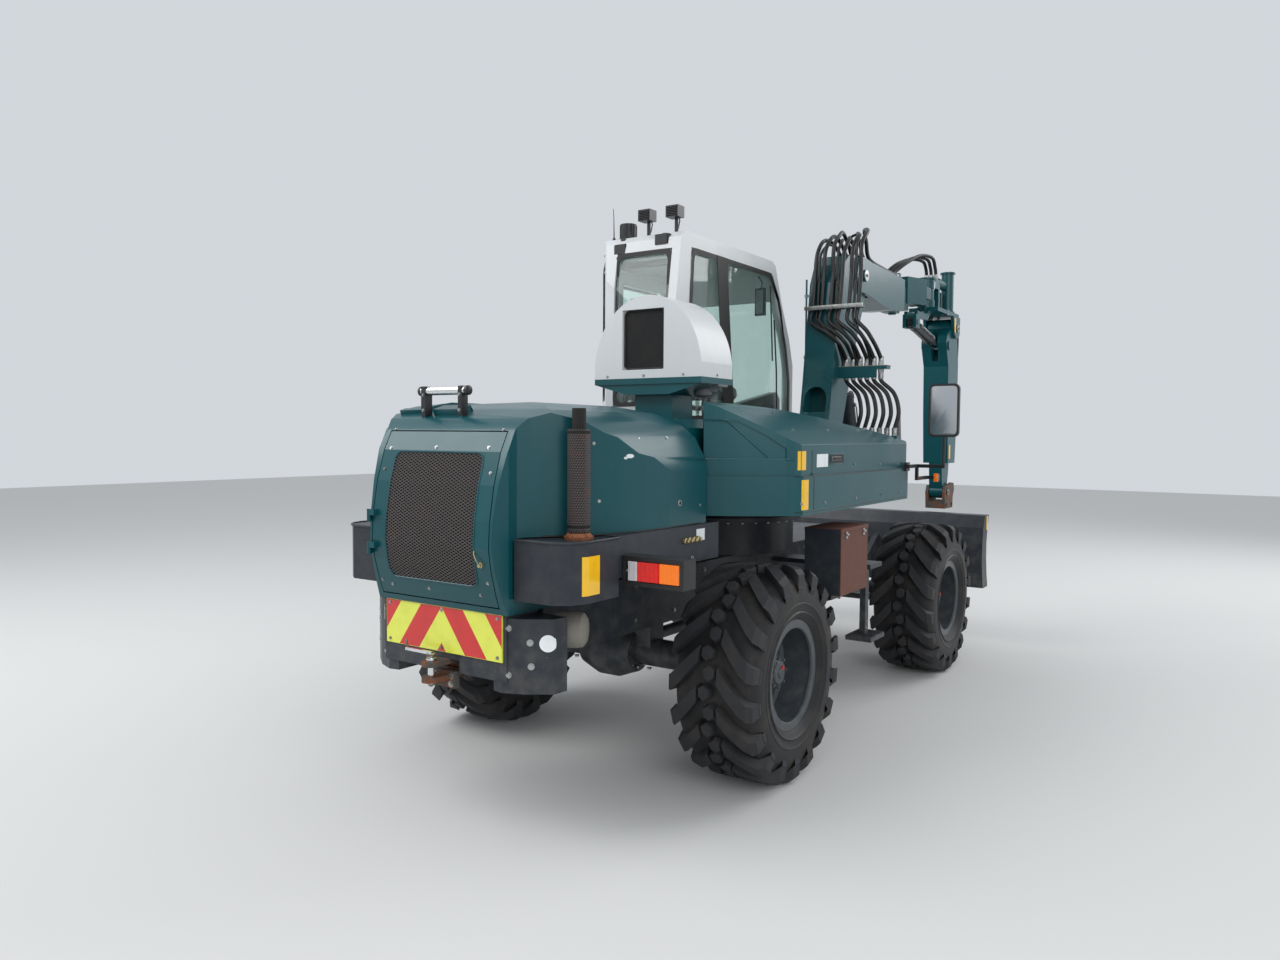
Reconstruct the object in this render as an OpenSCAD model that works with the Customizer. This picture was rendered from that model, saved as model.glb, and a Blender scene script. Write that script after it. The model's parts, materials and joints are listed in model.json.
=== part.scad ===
// Wheeled slewing tool carrier: a rigid four-wheel chassis with the engine behind,
// a turret with cab and three-part boom, and a blade in front.
// Lengths in millimetres. X runs forward, Y to the machine's left, Z up from the ground.
// Places along X are given from the rear axle, and at_rear_axle() shifts them to the part's own origin.

/* [Machine] */
// distance between the axles
wheelbase = 2900; // [2850:10:3000]
// width over the tyres
width_over_tyres = 2400; // [2360:10:2480]
// rearmost point, measured from the rear axle
rear_end = 1560; // [1550:5:1620]
// foremost point, measured from the rear axle
front_end = 4680; // [4660:5:4760]

/* [Wheels] */
// outer diameter of a tyre over its lugs
tyre_d = 1170; // [1150:5:1180]
// width of a tyre
tyre_w = 490; // [460:5:500]
// diameter of the rim's flange
rim_d = 597; // [590:1:605]
// steering pin, inwards from the wheel's middle
king_in = 155; // [140:5:170]

/* [Turret] */
// middle of the slew ring, in front of the rear axle
slew_x = 1250; // [1240:5:1260]
// radius of the turret's round tail
tail_r = 1620; // [1560:5:1630]
// gap between the tail and the hood
tail_gap = 45; // [30:5:60]
// underside of the turret above the ground
turret_z = 1435; // [1430:5:1450]
// half width of the turret's side covers
turret_half = 1150; // [1100:10:1160]

/* [Boom] */
// middle plane of the first two booms, to the right of the machine's middle
boom_y = 500; // [490:5:510]
// middle plane of the dipper
dipper_y = 640; // [630:5:650]
// width of the booms
boom_w = 230; // [200:5:240]

/* [Cab] */
// wall thickness of the cab
cab_t = 55; // [40:5:70]
// top of the cab's roof above the ground
cab_top = 3150; // [3100:10:3200]

/* [Hidden] */
$fn = 48;

green = [0.05, 0.30, 0.30];
dark = [0.13, 0.15, 0.18];
white = [0.90, 0.92, 0.93];
steel = [0.55, 0.56, 0.58];
black = [0.05, 0.05, 0.06];
rust = [0.35, 0.22, 0.16];

// running gap at a pin, gap between still faces, gap between pieces that move past each other
fit = 0.05;
seat_gap = 0.3;
move_gap = 6;
over = 1;

module at_rear_axle() { translate([(rear_end - front_end) / 2, 0, 0]) children(); }
// a side view given as X,Z points, drawn out along Y from y0 to y1
module side(points, y0, y1) {
    translate([0, y1, 0]) rotate([90, 0, 0]) linear_extrude(y1 - y0) polygon(points);
}
// a view from the rear given as Y,Z points, drawn out along X from x0 to x1
module rear(points, x0, x1) {
    translate([x0, 0, 0]) rotate([90, 0, 90]) linear_extrude(x1 - x0) polygon(points);
}
// a plan given as X,Y points, drawn up from z0 to z1
module plan(points, z0, z1) { translate([0, 0, z0]) linear_extrude(z1 - z0) polygon(points); }
// a block between two corners
module block(a, b) { translate(a) cube(b - a); }
// a round bar along Y, at x and z
module bar_y(x, z, r, y0, y1) { translate([x, y1, z]) rotate([90, 0, 0]) cylinder(r = r, h = y1 - y0); }
// a round bar along Z
module bar_z(x, y, r, z0, z1) { translate([x, y, z0]) cylinder(r = r, h = z1 - z0); }
// points of an arc round c from angle a0 to a1
function arc(c, r, a0, a1, n) = [for (i = [0 : n]) c + r * [cos(a0 + (a1 - a0) * i / n),
    sin(a0 + (a1 - a0) * i / n)]];

tyre_r = tyre_d / 2;
axle_z = tyre_r;
wheel_y = (width_over_tyres - tyre_w) / 2;
king_y = wheel_y - king_in;
// wheels: x of the axle, side (1 is left)
corners = [[0, 1], [0, -1], [wheelbase, 1], [wheelbase, -1]];

// wheel parts turn about Y, with y = 0 in the wheel's middle plane and +y outwards
rim_r = rim_d / 2;
rim_half = 207;
rim_bead = 284;
rim_in = 258;
hub_r = 60;
hub_face = -10;
module put_wheel(i) {
    at_rear_axle() translate([corners[i][0], corners[i][1] * wheel_y, axle_z])
        mirror([0, corners[i][1] > 0 ? 0 : 1, 0]) children();
}
// a ring about Y: points are radius, y
module turned(points) { rotate([-90, 0, 0]) rotate_extrude($fn = 72) polygon(points); }

// tyres: 18 lugs a side, those of one side half a pitch behind the other's
lugs = 18;
lug_columns = 4 * lugs;
wall_columns = 24;
lug_half = 26;
lug_top = tyre_r / cos(lug_half / tyre_r * 180 / PI);
// rows of the tread from the middle out: y, radius between lugs, radius on a lug, lag along the tread, half
// a lug's length
tread_rows = [[0, 549, 549, 0, 0], [28, 549, lug_top, 0, lug_half],
    [tyre_w / 2 - 9, 512, tyre_r - 26, 196, 34],
    [tyre_w / 2, 455, 466, 226, 34]];
// rows of the side wall down to the bead: y, least radius
wall_rows = [[rim_half + 2, rim_r + seat_gap], [rim_half - 12.6, rim_r + seat_gap],
    [rim_half - 13.6, rim_bead + seat_gap]];
function on_wheel(angle, y, r) = [r * cos(angle), y, r * sin(angle)];
// one ring of tread points on side s; columns 1 and 2 of each four lie on a lug
function tread_ring(row, s) = [for (i = [0 : lug_columns - 1])
    let (column = i % 4, pitch = 360 / lugs, raised = column == 1 || column == 2,
        along = row[4] == 0 ? (column - 1.5) * pitch / 4 : ([-1, -1, 1, 1][column] * row[4] + [-8, 0, 0,
            8][column] + row[3]) / tyre_r * 180 / PI)
    on_wheel(270 + floor(i / 4) * pitch + (s > 0 ? 0 : pitch / 2) + along, s * row[0],
        raised ? row[2] : row[1])];
function wall_ring(row, s) = [for (i = [0 : wall_columns - 1])
    let (start = 270 + 360 / lugs * (s > 0 ? -0.4 : 0.1) + tread_rows[3][3] / tyre_r * 180 / PI)
    on_wheel(start + i * 360 / wall_columns, s * row[0], row[1] / cos(180 / wall_columns))];
// faces between two rings that start at a and b and have m and n points; m is n, or three times n
function strip(a, m, b, n, s) = [for (i = [0 : n - 1]) let (k = m / n, j = (i + 1) % n)
    each concat([for (q = [0 : k - 1]) let (u = a + i * k + q, v = a + (i * k + q + 1) % m) s > 0 ? [u, v,
        b + i] : [v, u, b + i]],
        [s > 0 ? [a + (i * k + k) % m, b + j, b + i] : [b + j, a + (i * k + k) % m, b + i]])];
// the middle ring's columns are even, so a side that starts half a pitch later meets it two columns on
function middle_strip(o, s) = [for (i = [0 : lug_columns - 1]) let (j = (i + 1) % lug_columns,
    shift = s > 0 ? 0 : 2,
        m = (i + shift) % lug_columns, n = (j + shift) % lug_columns)
    each s > 0 ? [[m, n, o + i], [n, o + j, o + i]] : [[n, m, o + i], [o + j, n, o + i]]];
// faces of the bore between the two beads
function bore_strip(a, b) = [for (i = [0 : wall_columns - 1]) let (j = (i + 1) % wall_columns)
    each [[a + i, a + j, b + i], [a + j, b + j, b + i]]];
module tyre(i) {
    half_size = 3 * lug_columns + 3 * wall_columns;
    // points: the middle ring, then each side's rings from the middle out
    points = concat(tread_ring(tread_rows[0], 1),
        [for (s = [1, -1]) each concat(tread_ring(tread_rows[1], s), tread_ring(tread_rows[2], s),
            tread_ring(tread_rows[3], s),
            wall_ring(wall_rows[0], s), wall_ring(wall_rows[1], s), wall_ring(wall_rows[2], s))]);
    // the left side's first ring starts half a pitch, or two columns, further on
    faces = [for (s = [1, -1]) let (o = lug_columns + (s > 0 ? 0 : half_size), w = o + 3 * lug_columns)
        each concat(middle_strip(o, s), strip(o, lug_columns, o + lug_columns, lug_columns, s),
            strip(o + lug_columns, lug_columns, o + 2 * lug_columns, lug_columns, s),
            strip(o + 2 * lug_columns, lug_columns, w, wall_columns, s),
                strip(w, wall_columns, w + wall_columns, wall_columns, s),
            strip(w + wall_columns, wall_columns, w + 2 * wall_columns, wall_columns, s))];
    inner_a = lug_columns + half_size - wall_columns;
    inner_b = lug_columns + 2 * half_size - wall_columns;
    color(black) put_wheel(i) polyhedron(points = points, faces = concat(faces, bore_strip(inner_a,
        inner_b)));
}
module rim(i) {
    color(dark) put_wheel(i) difference() {
        union() {
            turned([[rim_in, -rim_half], [rim_r, -rim_half], [rim_r, -rim_half + 12],
                [rim_bead, -rim_half + 13],
                [rim_bead, rim_half - 13], [rim_r, rim_half - 12], [rim_r, rim_half], [rim_in, rim_half]]);
            turned([[0, hub_face + 42], [0, hub_face + 130], [70, hub_face + 130], [95, hub_face + 110],
                [110, hub_face + 42],
                [200, hub_face + 22], [rim_in + over, hub_face + 22], [rim_in + over, hub_face],
                    [hub_r - over, hub_face],
                [hub_r - over, hub_face + 42]]);
        }
        turned([[0, hub_face - over], [hub_r + fit, hub_face - over], [hub_r + fit, hub_face + 40],
            [0, hub_face + 40]]);
    }
}
// steering knuckle: kingpin, body and the spindle that the rim turns on
fork_z = 105;
pin_r = 25;
module knuckle(i) {
    color(dark) put_wheel(i) {
        translate([0, -king_in, -fork_z + seat_gap]) cylinder(r = 48, h = 2 * (fork_z - seat_gap));
        translate([0, -king_in, -fork_z - 34]) cylinder(r = pin_r, h = 2 * (fork_z + 34));
        rotate([-90, 0, 0]) translate([0, 0, -king_in]) cylinder(r = hub_r, h = king_in + hub_face + 39.5);
        rotate([-90, 0, 0]) translate([0, 0, -king_in + 60]) cylinder(r = 150,
            h = king_in + hub_face - seat_gap - 60);
    }
}
// both axles: beam, middle housing, and forks that hold the kingpins
module axles() {
    color(dark) at_rear_axle() translate([0, 0, axle_z]) rotate([0, 90, 0]) cylinder(r = 38,
        h = wheelbase - 60);
    color(dark) at_rear_axle() for (x = [0, wheelbase]) translate([x, 0, axle_z]) {
        rotate([-90, 0, 0]) translate([0, 0, -king_y + 75]) cylinder(r = 82, h = 2 * (king_y - 75));
        translate([-30, 0, 0]) rotate([-90, 0, 0]) rotate_extrude() polygon([[0, -190], [120, -180],
            [165, -60], [165, 60], [120, 180], [0, 190]]);
        for (s = [-1, 1]) {
            block([-70, s * 230 - 55, 0], [70, s * 230 + 55, frame_low - axle_z]);
            difference() {
                union() {
                    for (z = [-fork_z - 36, fork_z]) {
                        translate([0, s * king_y, z]) cylinder(r = 52, h = 36);
                        block([-52, min(s * king_y, s * (king_y - 110)), z],
                            [52, max(s * king_y, s * (king_y - 110)), z + 36]);
                    }
                    block([-52, min(s * (king_y - 60), s * (king_y - 110)), -fork_z - 36],
                        [52, max(s * (king_y - 60), s * (king_y - 110)), fork_z + 36]);
                }
                translate([0, s * king_y, -fork_z - 60]) cylinder(r = pin_r + fit, h = 2 * fork_z + 120);
            }
        }
    }
}

// chassis frame
frame_half = 340;
frame_low = 770;
frame_top = 1080;
frame_x0 = -1240;
frame_x1 = 3230;
deck_low = 1205;
deck_top = 1400;
deck_half = 760;
deck_x0 = -1060;
deck_x1 = -120;
ring_r = 520;
blade_pin = [3180, 620];
blade_lug = 250;
module frame() {
    color(dark) at_rear_axle() {
        block([frame_x0, -frame_half, frame_low], [frame_x1, frame_half, frame_top]);
        difference() {
            block([deck_x0, -deck_half, deck_low], [deck_x1, deck_half, deck_top]);
            block([deck_x0 + 200, -deck_half + 60, deck_low - over],
                [deck_x1 - 160, -frame_half - 60, deck_top - 25]);
            block([deck_x0 + 200, frame_half + 60, deck_low - over],
                [deck_x1 - 160, deck_half - 60, deck_top - 25]);
        }
        for (x = [-1040, -420]) block([x, -frame_half, frame_top - over],
            [x + 260, frame_half, deck_low + over]);
        bar_z(slew_x, 0, ring_r, frame_top - over, turret_z - 105);
        bar_z(slew_x, 0, ring_r - 60, turret_z - 106, turret_z - 30);
        // lugs and pins of the blade's arms
        for (s = [-1, 1]) {
            block([blade_pin[0] - 110, s * blade_lug - 20, blade_pin[1] - 70],
                [blade_pin[0] + 70, s * blade_lug + 20, frame_low + over]);
            bar_y(blade_pin[0], blade_pin[1],
                30, s > 0 ? blade_lug - 110 : -blade_lug - 20, s > 0 ? blade_lug + 20 : -blade_lug + 110);
        }
        // lugs and pin of the blade's cylinder
        for (y = [-62, 36]) block([frame_x1 - over, y, blade_c[0][1] - 50],
            [frame_x1 + 93, y + 26, blade_c[0][1] + 50]);
        bar_y(blade_c[0][0], blade_c[0][1], pin_r, -62, 62);
        // tower behind the ring, cross step and brackets of the boxes
        for (s = [-1, 1]) {
            block([900, s > 0 ? frame_half - over : -1000, 842],
                [1180, s > 0 ? 1000 : -frame_half + over, 890]);
            block([1420, s > 0 ? frame_half - over : -1060, 980],
                [1640, s > 0 ? 1060 : -frame_half + over, 1010]);
            block([1500, s > 0 ? 960 : -1000, 520], [1560, s > 0 ? 1000 : -960, 981]);
            block([1400, s > 0 ? 900 : -1080, 490], [1660, s > 0 ? 1080 : -900, 521]);
        }
    }
}
module engine() {
    color(steel) at_rear_axle() block([-1030, -300, deck_top], [slew_x - hood_front_r - 60, 300, 1840]);
}
board_half = 388;
module bumper() {
    color(dark) at_rear_axle() {
        difference() {
            union() {
                block([-1440, -board_half - 20, 740], [frame_x0, board_half + 20, 1050]);
                for (s = [-1, 1]) plan([[-1440, s * 380], [-1400, s * 480], [-1320, s * 590],
                    [frame_x0, s * 600], [frame_x0, s * 320], [-1430, s * 320]], 690, 1034);
            }
            block([-1441, -110, 700], [-1330, 110, 800]);
        }
    }
}
module chevron_board() {
    color([0.85, 0.8, 0.2]) at_rear_axle() block([-1447, -board_half, 830], [-1440, board_half, 1048]);
}
hitch_pin_r = 15.5;
jaw_z = [700, 775];
jaw_t = 25;
module hitch() {
    color(rust) at_rear_axle() difference() {
        union() {
            block([-1440, -80, 660], [-1410, 80, 740]);
            difference() {
                block([-1360, -100, 701], [-1330, 100, 799]);
                block([-1400, -70, 735], [-1342, 70, 765]);
            }
            for (z = jaw_z) {
                block([-rear_end + 45, -45, z], [-1330, 45, z + jaw_t]);
                bar_z(-rear_end + 45, 0, 45, z, z + jaw_t);
            }
        }
        bar_z(-rear_end + 45, 0, hitch_pin_r + fit, 600, 900);
    }
}
// the pin rests on its collar, and its lever lifts it
module hitch_pin() {
    color(steel) at_rear_axle() {
        bar_z(-rear_end + 45, 0, hitch_pin_r, jaw_z[0] - 10, jaw_z[1] + 58);
        bar_z(-rear_end + 45, 0, 24, jaw_z[1] + jaw_t + seat_gap, jaw_z[1] + jaw_t + 12);
        block([-rear_end + 38, -8, jaw_z[1] + 54], [-rear_end + 52, 170, jaw_z[1] + 68]);
    }
}
lamp_z = [1172, 1310];
lamp_y = [deck_half + 4, deck_half + 338];
module rear_lamps() {
    color(dark) at_rear_axle() for (s = [-1, 1]) {
        difference() {
            block([-1036, s > 0 ? lamp_y[0] : -lamp_y[1], lamp_z[0]], [-930, s > 0 ? lamp_y[1] : -lamp_y[0],
                lamp_z[1]]);
            block([-1036 - over, s > 0 ? lamp_y[0] + 20 : -lamp_y[1] + 20, lamp_z[0] + 20],
                [-1010, s > 0 ? lamp_y[1] - 20 : -lamp_y[0] - 20, lamp_z[1] - 20]);
        }
        block([-1025, s > 0 ? lamp_y[0] + 24 : -lamp_y[1] + 24, lamp_z[0] + 24],
            [-1010 + over, s > 0 ? lamp_y[1] - 24 : -lamp_y[0] - 24, lamp_z[1] - 24]);
        block([-1010, s > 0 ? deck_half : -lamp_y[0] - 36, 1220],
            [-950, s > 0 ? lamp_y[0] + 36 : -deck_half, 1300]);
    }
}
box_y = [445, deck_half + 4];
stack = [-1222, deck_half - 110];
module rear_boxes() {
    color(dark) at_rear_axle() for (s = [-1, 1]) {
        plan([[-1430, s * box_y[0]], [-1430, s * 660], [-1380, s * 730], [-1300, s * box_y[1]],
            [deck_x0 - 5, s * box_y[1]], [deck_x0 - 5, s * box_y[0]]], 1120, deck_top - 5);
        block([-1140, s > 0 ? frame_half : -box_y[0] - over, 1130],
            [-1075, s > 0 ? box_y[0] + over : -frame_half, 1180]);
        block([-1140, s > 0 ? frame_half : -frame_half - 30, 1000],
            [-1075, s > 0 ? frame_half + 30 : -frame_half, 1180]);
    }
}
module exhaust_stack() {
    color(rust) at_rear_axle() {
        difference() {
            bar_z(stack[0], -stack[1], 32, deck_top - 5, 1990);
            bar_z(stack[0], -stack[1], 28, 1800, 1991);
        }
        bar_z(stack[0], -stack[1], 62, deck_top - 5, deck_top + 25);
        difference() {
            bar_z(stack[0], -stack[1], 52, deck_top + 24, 1900);
            bar_z(stack[0], -stack[1], 46, deck_top + 60, 1901);
        }
    }
}
module side_boxes() {
    color([0.33, 0.2, 0.15]) at_rear_axle() {
        block([800, -1100, 890], [1250, -860, 1300]);
        block([800, 700, 890], [1250, 1100, 1300]);
    }
}

// hood: plan, side view and view from the rear cut each other; t is the inset of the inner space
hood_front_r = tail_r + tail_gap;
nose_z = 1050 + seat_gap;
module hood_form(t) {
    difference() {
        intersection() {
            union() {
                plan([[-1460 + t, 330], [-1440 + t, 395 - t / 2], [-1395 + t, 430 - t / 2],
                    [-1330 + t, 470 - t], [-1250, 530 - t], [-1160, 600 - t], [-1050, 670 - t],
                    [-850, 725 - t], [-600, 745 - t], [200, 750 - t], [200, -750 + t], [-600, -745 + t],
                        [-850, -725 + t], [-1050, -670 + t],
                    [-1160, -600 + t], [-1250, -530 + t], [-1330 + t, -470 + t], [-1395 + t, -430 + t / 2],
                        [-1440 + t, -395 + t / 2], [-1460 + t, -330]],
                    deck_top + seat_gap - 2 * t, 2100);
                plan([[-1560, 395 - t], [-1450, 430 - t], [-1150, 430 - t], [-1150, -430 + t],
                    [-1450, -430 + t], [-1560, -395 + t]], nose_z - 2 * t, 2100);
            }
            side([[-1455 + t, nose_z - 2 * t], [-1490 + t, 1150], [-1520 + t, 1260], [-1535 + t, 1360],
                [-1528 + t, 1480], [-1500 + t, 1640], [-1455 + t, 1790],
                [-1405 + t, 1890 - t], [-1350 + t, 1942 - t], [-1200, 1990 - t], [-1000, 2025 - t],
                    [-800, 2040 - t], [-600, 2040 - t], [-440, 2030 - t], [-330, 2010 - t],
                [-275, 1985 - t], [-240, 1940 - t], [-225, 1860 - t], [-200, 1700], [-200, 1050 - 2 * t]],
                    -800, 800);
            rear([[-752 + t, 1050 - 2 * t], [-752 + t, 1650], [-735 + t, 1760], [-690 + t, 1860 - t],
                [-610, 1935 - t], [-480, 1985 - t], [-250, 2025 - t], [0, 2040 - t],
                [250, 2025 - t], [480, 1985 - t], [610, 1935 - t], [690 - t, 1860 - t], [735 - t, 1760],
                    [752 - t, 1650], [752 - t, 1050 - 2 * t]], -1600, 0);
        }
        translate([slew_x, 0, 1000]) cylinder(r = hood_front_r + t, h = 1200, $fn = 360);
    }
}
grille_y = 295;
grille_z = [1175, 1785];
// the rear door is cut out of the hood, and turns about an upright pin at its left edge
rear_door_y = 385;
rear_door_z = [1085, 1880];
door_axis = [-1544, 400];
module rear_door_cut(g) { block([-1600, -rear_door_y - g, rear_door_z[0] - g],
    [-1400 + g, rear_door_y + g, rear_door_z[1] + g]); }
module rear_hinges(z0, z1, y0, y1) {
    for (z = [1280, 1440]) {
        bar_z(door_axis[0], door_axis[1], 10, z + z0, z + z1);
        block([-1542, y0, z + z0], [-1500, y1, z + z1]);
    }
}
module hood() {
    color(green) at_rear_axle() {
        difference() {
            union() {
                difference() { hood_form(0); hood_form(22); }
                intersection() { hood_form(0); rear_hinges(0, 29.7, 401, 412); }
            }
            rear_door_cut(move_gap);
        }
        difference() { rear_hinges(0, 29.7, 399, 410); hood_form(2); }
        // grab handle on the roof
        for (y = [-20, 230]) block([-1330, y, 1930], [-1290, y + 26, 2080]);
        bar_y(-1310, 2080, 20, -50, 280);
    }
}
module rear_door() {
    color(green) at_rear_axle() {
        difference() {
            intersection() { difference() { hood_form(0); hood_form(22); } rear_door_cut(0); }
            rear([[-grille_y, grille_z[0]], [-grille_y, grille_z[1]], [grille_y, grille_z[1]],
                [grille_y, grille_z[0]]], -1600, -1380);
        }
        difference() {
            for (z = [1280, 1440]) {
                bar_z(door_axis[0], door_axis[1], 10, z + 30, z + 60);
                block([-1552, rear_door_y - 30, z + 30], [-1520, rear_door_y, z + 60]);
                block([-1552, rear_door_y - 2, z + 30], [-1540, door_axis[1], z + 60]);
            }
            hood_form(2);
        }
    }
}
module rear_grille() {
    color(black) at_rear_axle() intersection() {
        difference() { hood_form(4); hood_form(16); }
        rear([[-grille_y + seat_gap, grille_z[0] + seat_gap], [-grille_y + seat_gap, grille_z[1] - seat_gap],
            [grille_y - seat_gap, grille_z[1] - seat_gap], [grille_y - seat_gap, grille_z[0] + seat_gap]],
                -1600, -1380);
    }
}

// blade with its two arms
module blade() {
    color(dark) at_rear_axle() {
        difference() {
            side([[3960, 520], [3925, 640], [3905, 780], [3905, 920], [3930, 1060], [3975, 1170],
                [4115, 1170], [4075, 1060], [4050, 920], [4055, 780],
                [4080, 640], [4120, 520]], -1170, 1170);
            side([[3990, 500], [3950, 640], [3930, 780], [3930, 920], [3955, 1060], [4000, 1150],
                [4200, 1150], [4200, 500]], -1156, 1156);
        }
        side([[3960, 520], [4120, 520], [4090, 640], [3945, 640]], -1160, 1160);
        for (s = [-1, 1]) difference() {
            union() {
                side([[blade_pin[0] - 20, 572], [blade_pin[0] - 20, 668], [3600, 760], [3910, 960],
                    [3910, 620], [3650, 560]], s > 0 ? 175 : -225, s > 0 ? 225 : -175);
                bar_y(blade_pin[0], blade_pin[1], 58, s > 0 ? 175 : -225, s > 0 ? 225 : -175);
            }
            bar_y(blade_pin[0], blade_pin[1], 30 + fit, s * 200 - 40, s * 200 + 40);
        }
        for (y = [-70, 42]) side([[3775, 690], [3780, 790], [3830, 800], [3912, 930], [3912, 640]],
            y, y + 28);
        block([3640, -225, 600], [3700, 225, 680]);
    }
}

// a cylinder: base and rod eyes, radii, length of its barrel from the base eye, length of its rod from the
// rod eye
// it is drawn along +X from the base eye, and put in place by cyl_place
function dist(a, b) = norm(b - a);
module cyl_place(a, b, y) { at_rear_axle() translate([a[0], y, a[1]]) rotate([0, -atan2(b[1] - a[1],
    b[0] - a[0]), 0]) children(); }
module cyl_barrel(r_b, r_r, len_b, eye_w) {
    difference() {
        union() {
            rotate([90, 0, 0]) translate([0, 0, -eye_w / 2]) cylinder(r = 42, h = eye_w);
            translate([20, 0, 0]) rotate([0, 90, 0]) cylinder(r = r_b, h = len_b - 20);
        }
        rotate([90, 0, 0]) translate([0, 0, -r_b - 20]) cylinder(r = pin_r + fit, h = 2 * r_b + 40);
        translate([75, 0, 0]) rotate([0, 90, 0]) cylinder(r = r_r + fit, h = len_b);
        // flats beside the eye
        for (s = [-1, 1]) translate([-60, s > 0 ? eye_w / 2 : -eye_w / 2 - 80, -80]) cube([125, 80, 160]);
    }
}
module cyl_rod(r_r, len_all, len_r, eye_w) {
    translate([len_all - len_r, 0, 0]) rotate([0, 90, 0]) cylinder(r = r_r, h = len_r - 36);
    difference() {
        translate([len_all, 0, 0]) rotate([90, 0, 0]) translate([0, 0, -eye_w / 2]) cylinder(r = 40,
            h = eye_w);
        translate([len_all, 0, 0]) rotate([90, 0, 0]) translate([0, 0,
            -eye_w / 2 - over]) cylinder(r = pin_r, h = eye_w + 2 * over);
    }
}
// base eye, rod eye, y, barrel radius, rod radius, barrel length, rod length, eye width
boom_one_pin = [1800, 1720];
boom_two_pin = [2310, 3090];
dipper_pin = [4360, 2880];
coupler_pin = [4330, 1345];
lift_c = [[2530, 1640], [2240, 2420], -boom_y, 62, 34, 600, 580, 56];
dipper_c = [[3450, 2855], [4195, 2710], -dipper_y, 48, 28, 560, 560, 50];
coupler_c = [[front_end - 45, 2480], [4510, 1380], -dipper_y, 45, 25, 700, 620, 50];
blade_c = [[frame_x1 + 65, 980], [3830, 740], 0, 45, 25, 460, 380, 56];
module cylinder_of(c) { cyl_place(c[0], c[1], c[2]) cyl_barrel(c[3], c[4], c[5], c[7]); }
module rod_of(c) { cyl_place(c[0], c[1], c[2]) cyl_rod(c[4], dist(c[0], c[1]), c[6], c[7]); }

module blade_cylinder() { color(dark) cylinder_of(blade_c); }
module blade_rod() { color(steel) rod_of(blade_c); }
module lift_cylinder() { color(dark) cylinder_of(lift_c); }
module lift_rod() { color(steel) rod_of(lift_c); }
module dipper_cylinder() { color(dark) cylinder_of(dipper_c); }
module dipper_rod() { color(steel) rod_of(dipper_c); }
module coupler_cylinder() { color(dark) cylinder_of(coupler_c); }
module coupler_rod() { color(steel) rod_of(coupler_c); }

// turret
deck_t = 60;
deck_z = turret_z + deck_t;
lug_gap = boom_w / 2 + seat_gap;
module turret_deck() {
    color(dark) at_rear_axle() {
        intersection() {
            plan(concat(arc([slew_x, 0], tail_r - 20, 138, 221, 24), [[100, -turret_half + 44],
                [128, -turret_half + 20], [1865, -turret_half + 20], [1940, -1100], [2015, -1025],
                [2035, -900], [2035, -cover_in + 5], [2640, -cover_in + 5],
                [2640, -330], [2120, -300], [2120, 700], [1900, 1000], [160, 1100]]), turret_z, deck_z);
            block([-600, -turret_half + 20, turret_z - over], [2700, turret_half - 20, deck_z + over]);
        }
        difference() {
            bar_z(slew_x, 0, ring_r - 10, turret_z - 105 + seat_gap, turret_z + over);
            bar_z(slew_x, 0, ring_r - 60 + fit, turret_z - 120, turret_z - 30 + seat_gap);
        }
        // lugs and pin of the first boom, lugs and pin of its cylinder
        for (s = [-1, 1]) {
            side([[1640, deck_z - over], [1700, 1760], [1760, 1815], [1840, 1815], [1900, 1760],
                [1990, deck_z - over]], -boom_y + (s > 0 ? lug_gap : -lug_gap - 32),
                -boom_y + (s > 0 ? lug_gap + 32 : -lug_gap));
            side([[2440, deck_z - over], [2480, 1680], [2580, 1680], [2630, deck_z - over]],
                -boom_y + (s > 0 ? 34 : -62), -boom_y + (s > 0 ? 62 : -34));
        }
        bar_y(boom_one_pin[0], boom_one_pin[1], 40, -boom_y - lug_gap - 38, -boom_y + lug_gap + 38);
        bar_y(lift_c[0][0], lift_c[0][1], pin_r, -boom_y - 66, -boom_y + 66);
    }
}
// the covers stand back by belt_in above belt_z
belt_z = 1650;
belt_in = 14;
// plan of the right-hand cover, t inwards
function side_plan(t) = concat(arc([slew_x, 0], tail_r - t, 206, 222, 8),
    [[90 + t / 2, -turret_half + 25 + t], [120, -turret_half + t],
    [1880, -turret_half + t], [1960 - t / 2, -1120 + t], [2040 - t, -1040 + t / 2], [2060 - t, -900],
        [2060 - t, -cover_in], [-120, -cover_in]]);
// hoses go through the cover's top here
gland = [[1822, -1085], [1898, -750], 1874];
// right-hand cover: plan, side view and slanted top cut each other
cover_in = 655;
module side_body() {
    intersection() {
        union() {
            plan(side_plan(0), deck_z + seat_gap, belt_z);
            plan(side_plan(belt_in), belt_z - over, 2100);
        }
        side([[-400, turret_z], [-400, 2060], [60, 2060], [500, 2040], [1000, 1990], [1500, 1920],
            [1850, 1860], [2070, 1800], [2070, turret_z]], -1200, 0);
        rear([[-1160, turret_z], [-1160, 1800], [-1130, 1825], [-1000, 1905], [-850, 1985], [-760, 2030],
            [-cover_in, 2055], [-cover_in, turret_z]], -600, 2200);
    }
}
module side_cover() {
    color(green) at_rear_axle() {
        difference() {
            side_body();
            side_panel();
        }
        // skirt that hides the deck's edge
        intersection() {
            difference() {
                plan(side_plan(0), turret_z, deck_z + 2 * over);
                plan(concat(arc([slew_x, 0], tail_r - 18, 202, 221, 8), [[98, -turret_half + 42],
                    [126, -turret_half + 18], [1867, -turret_half + 18], [1942, -1102], [2017, -1027],
                    [2037.5, -900], [2037.5, -cover_in + 50], [-120, -cover_in + 50]]),
                    turret_z - over, deck_z + seat_gap);
            }
            block([-600, -1200, turret_z], [2062, -cover_in, 2000]);
        }
        block([gland[0][0], gland[0][1], 1830], [gland[1][0], gland[1][1], gland[2]]);
    }
}
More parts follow.
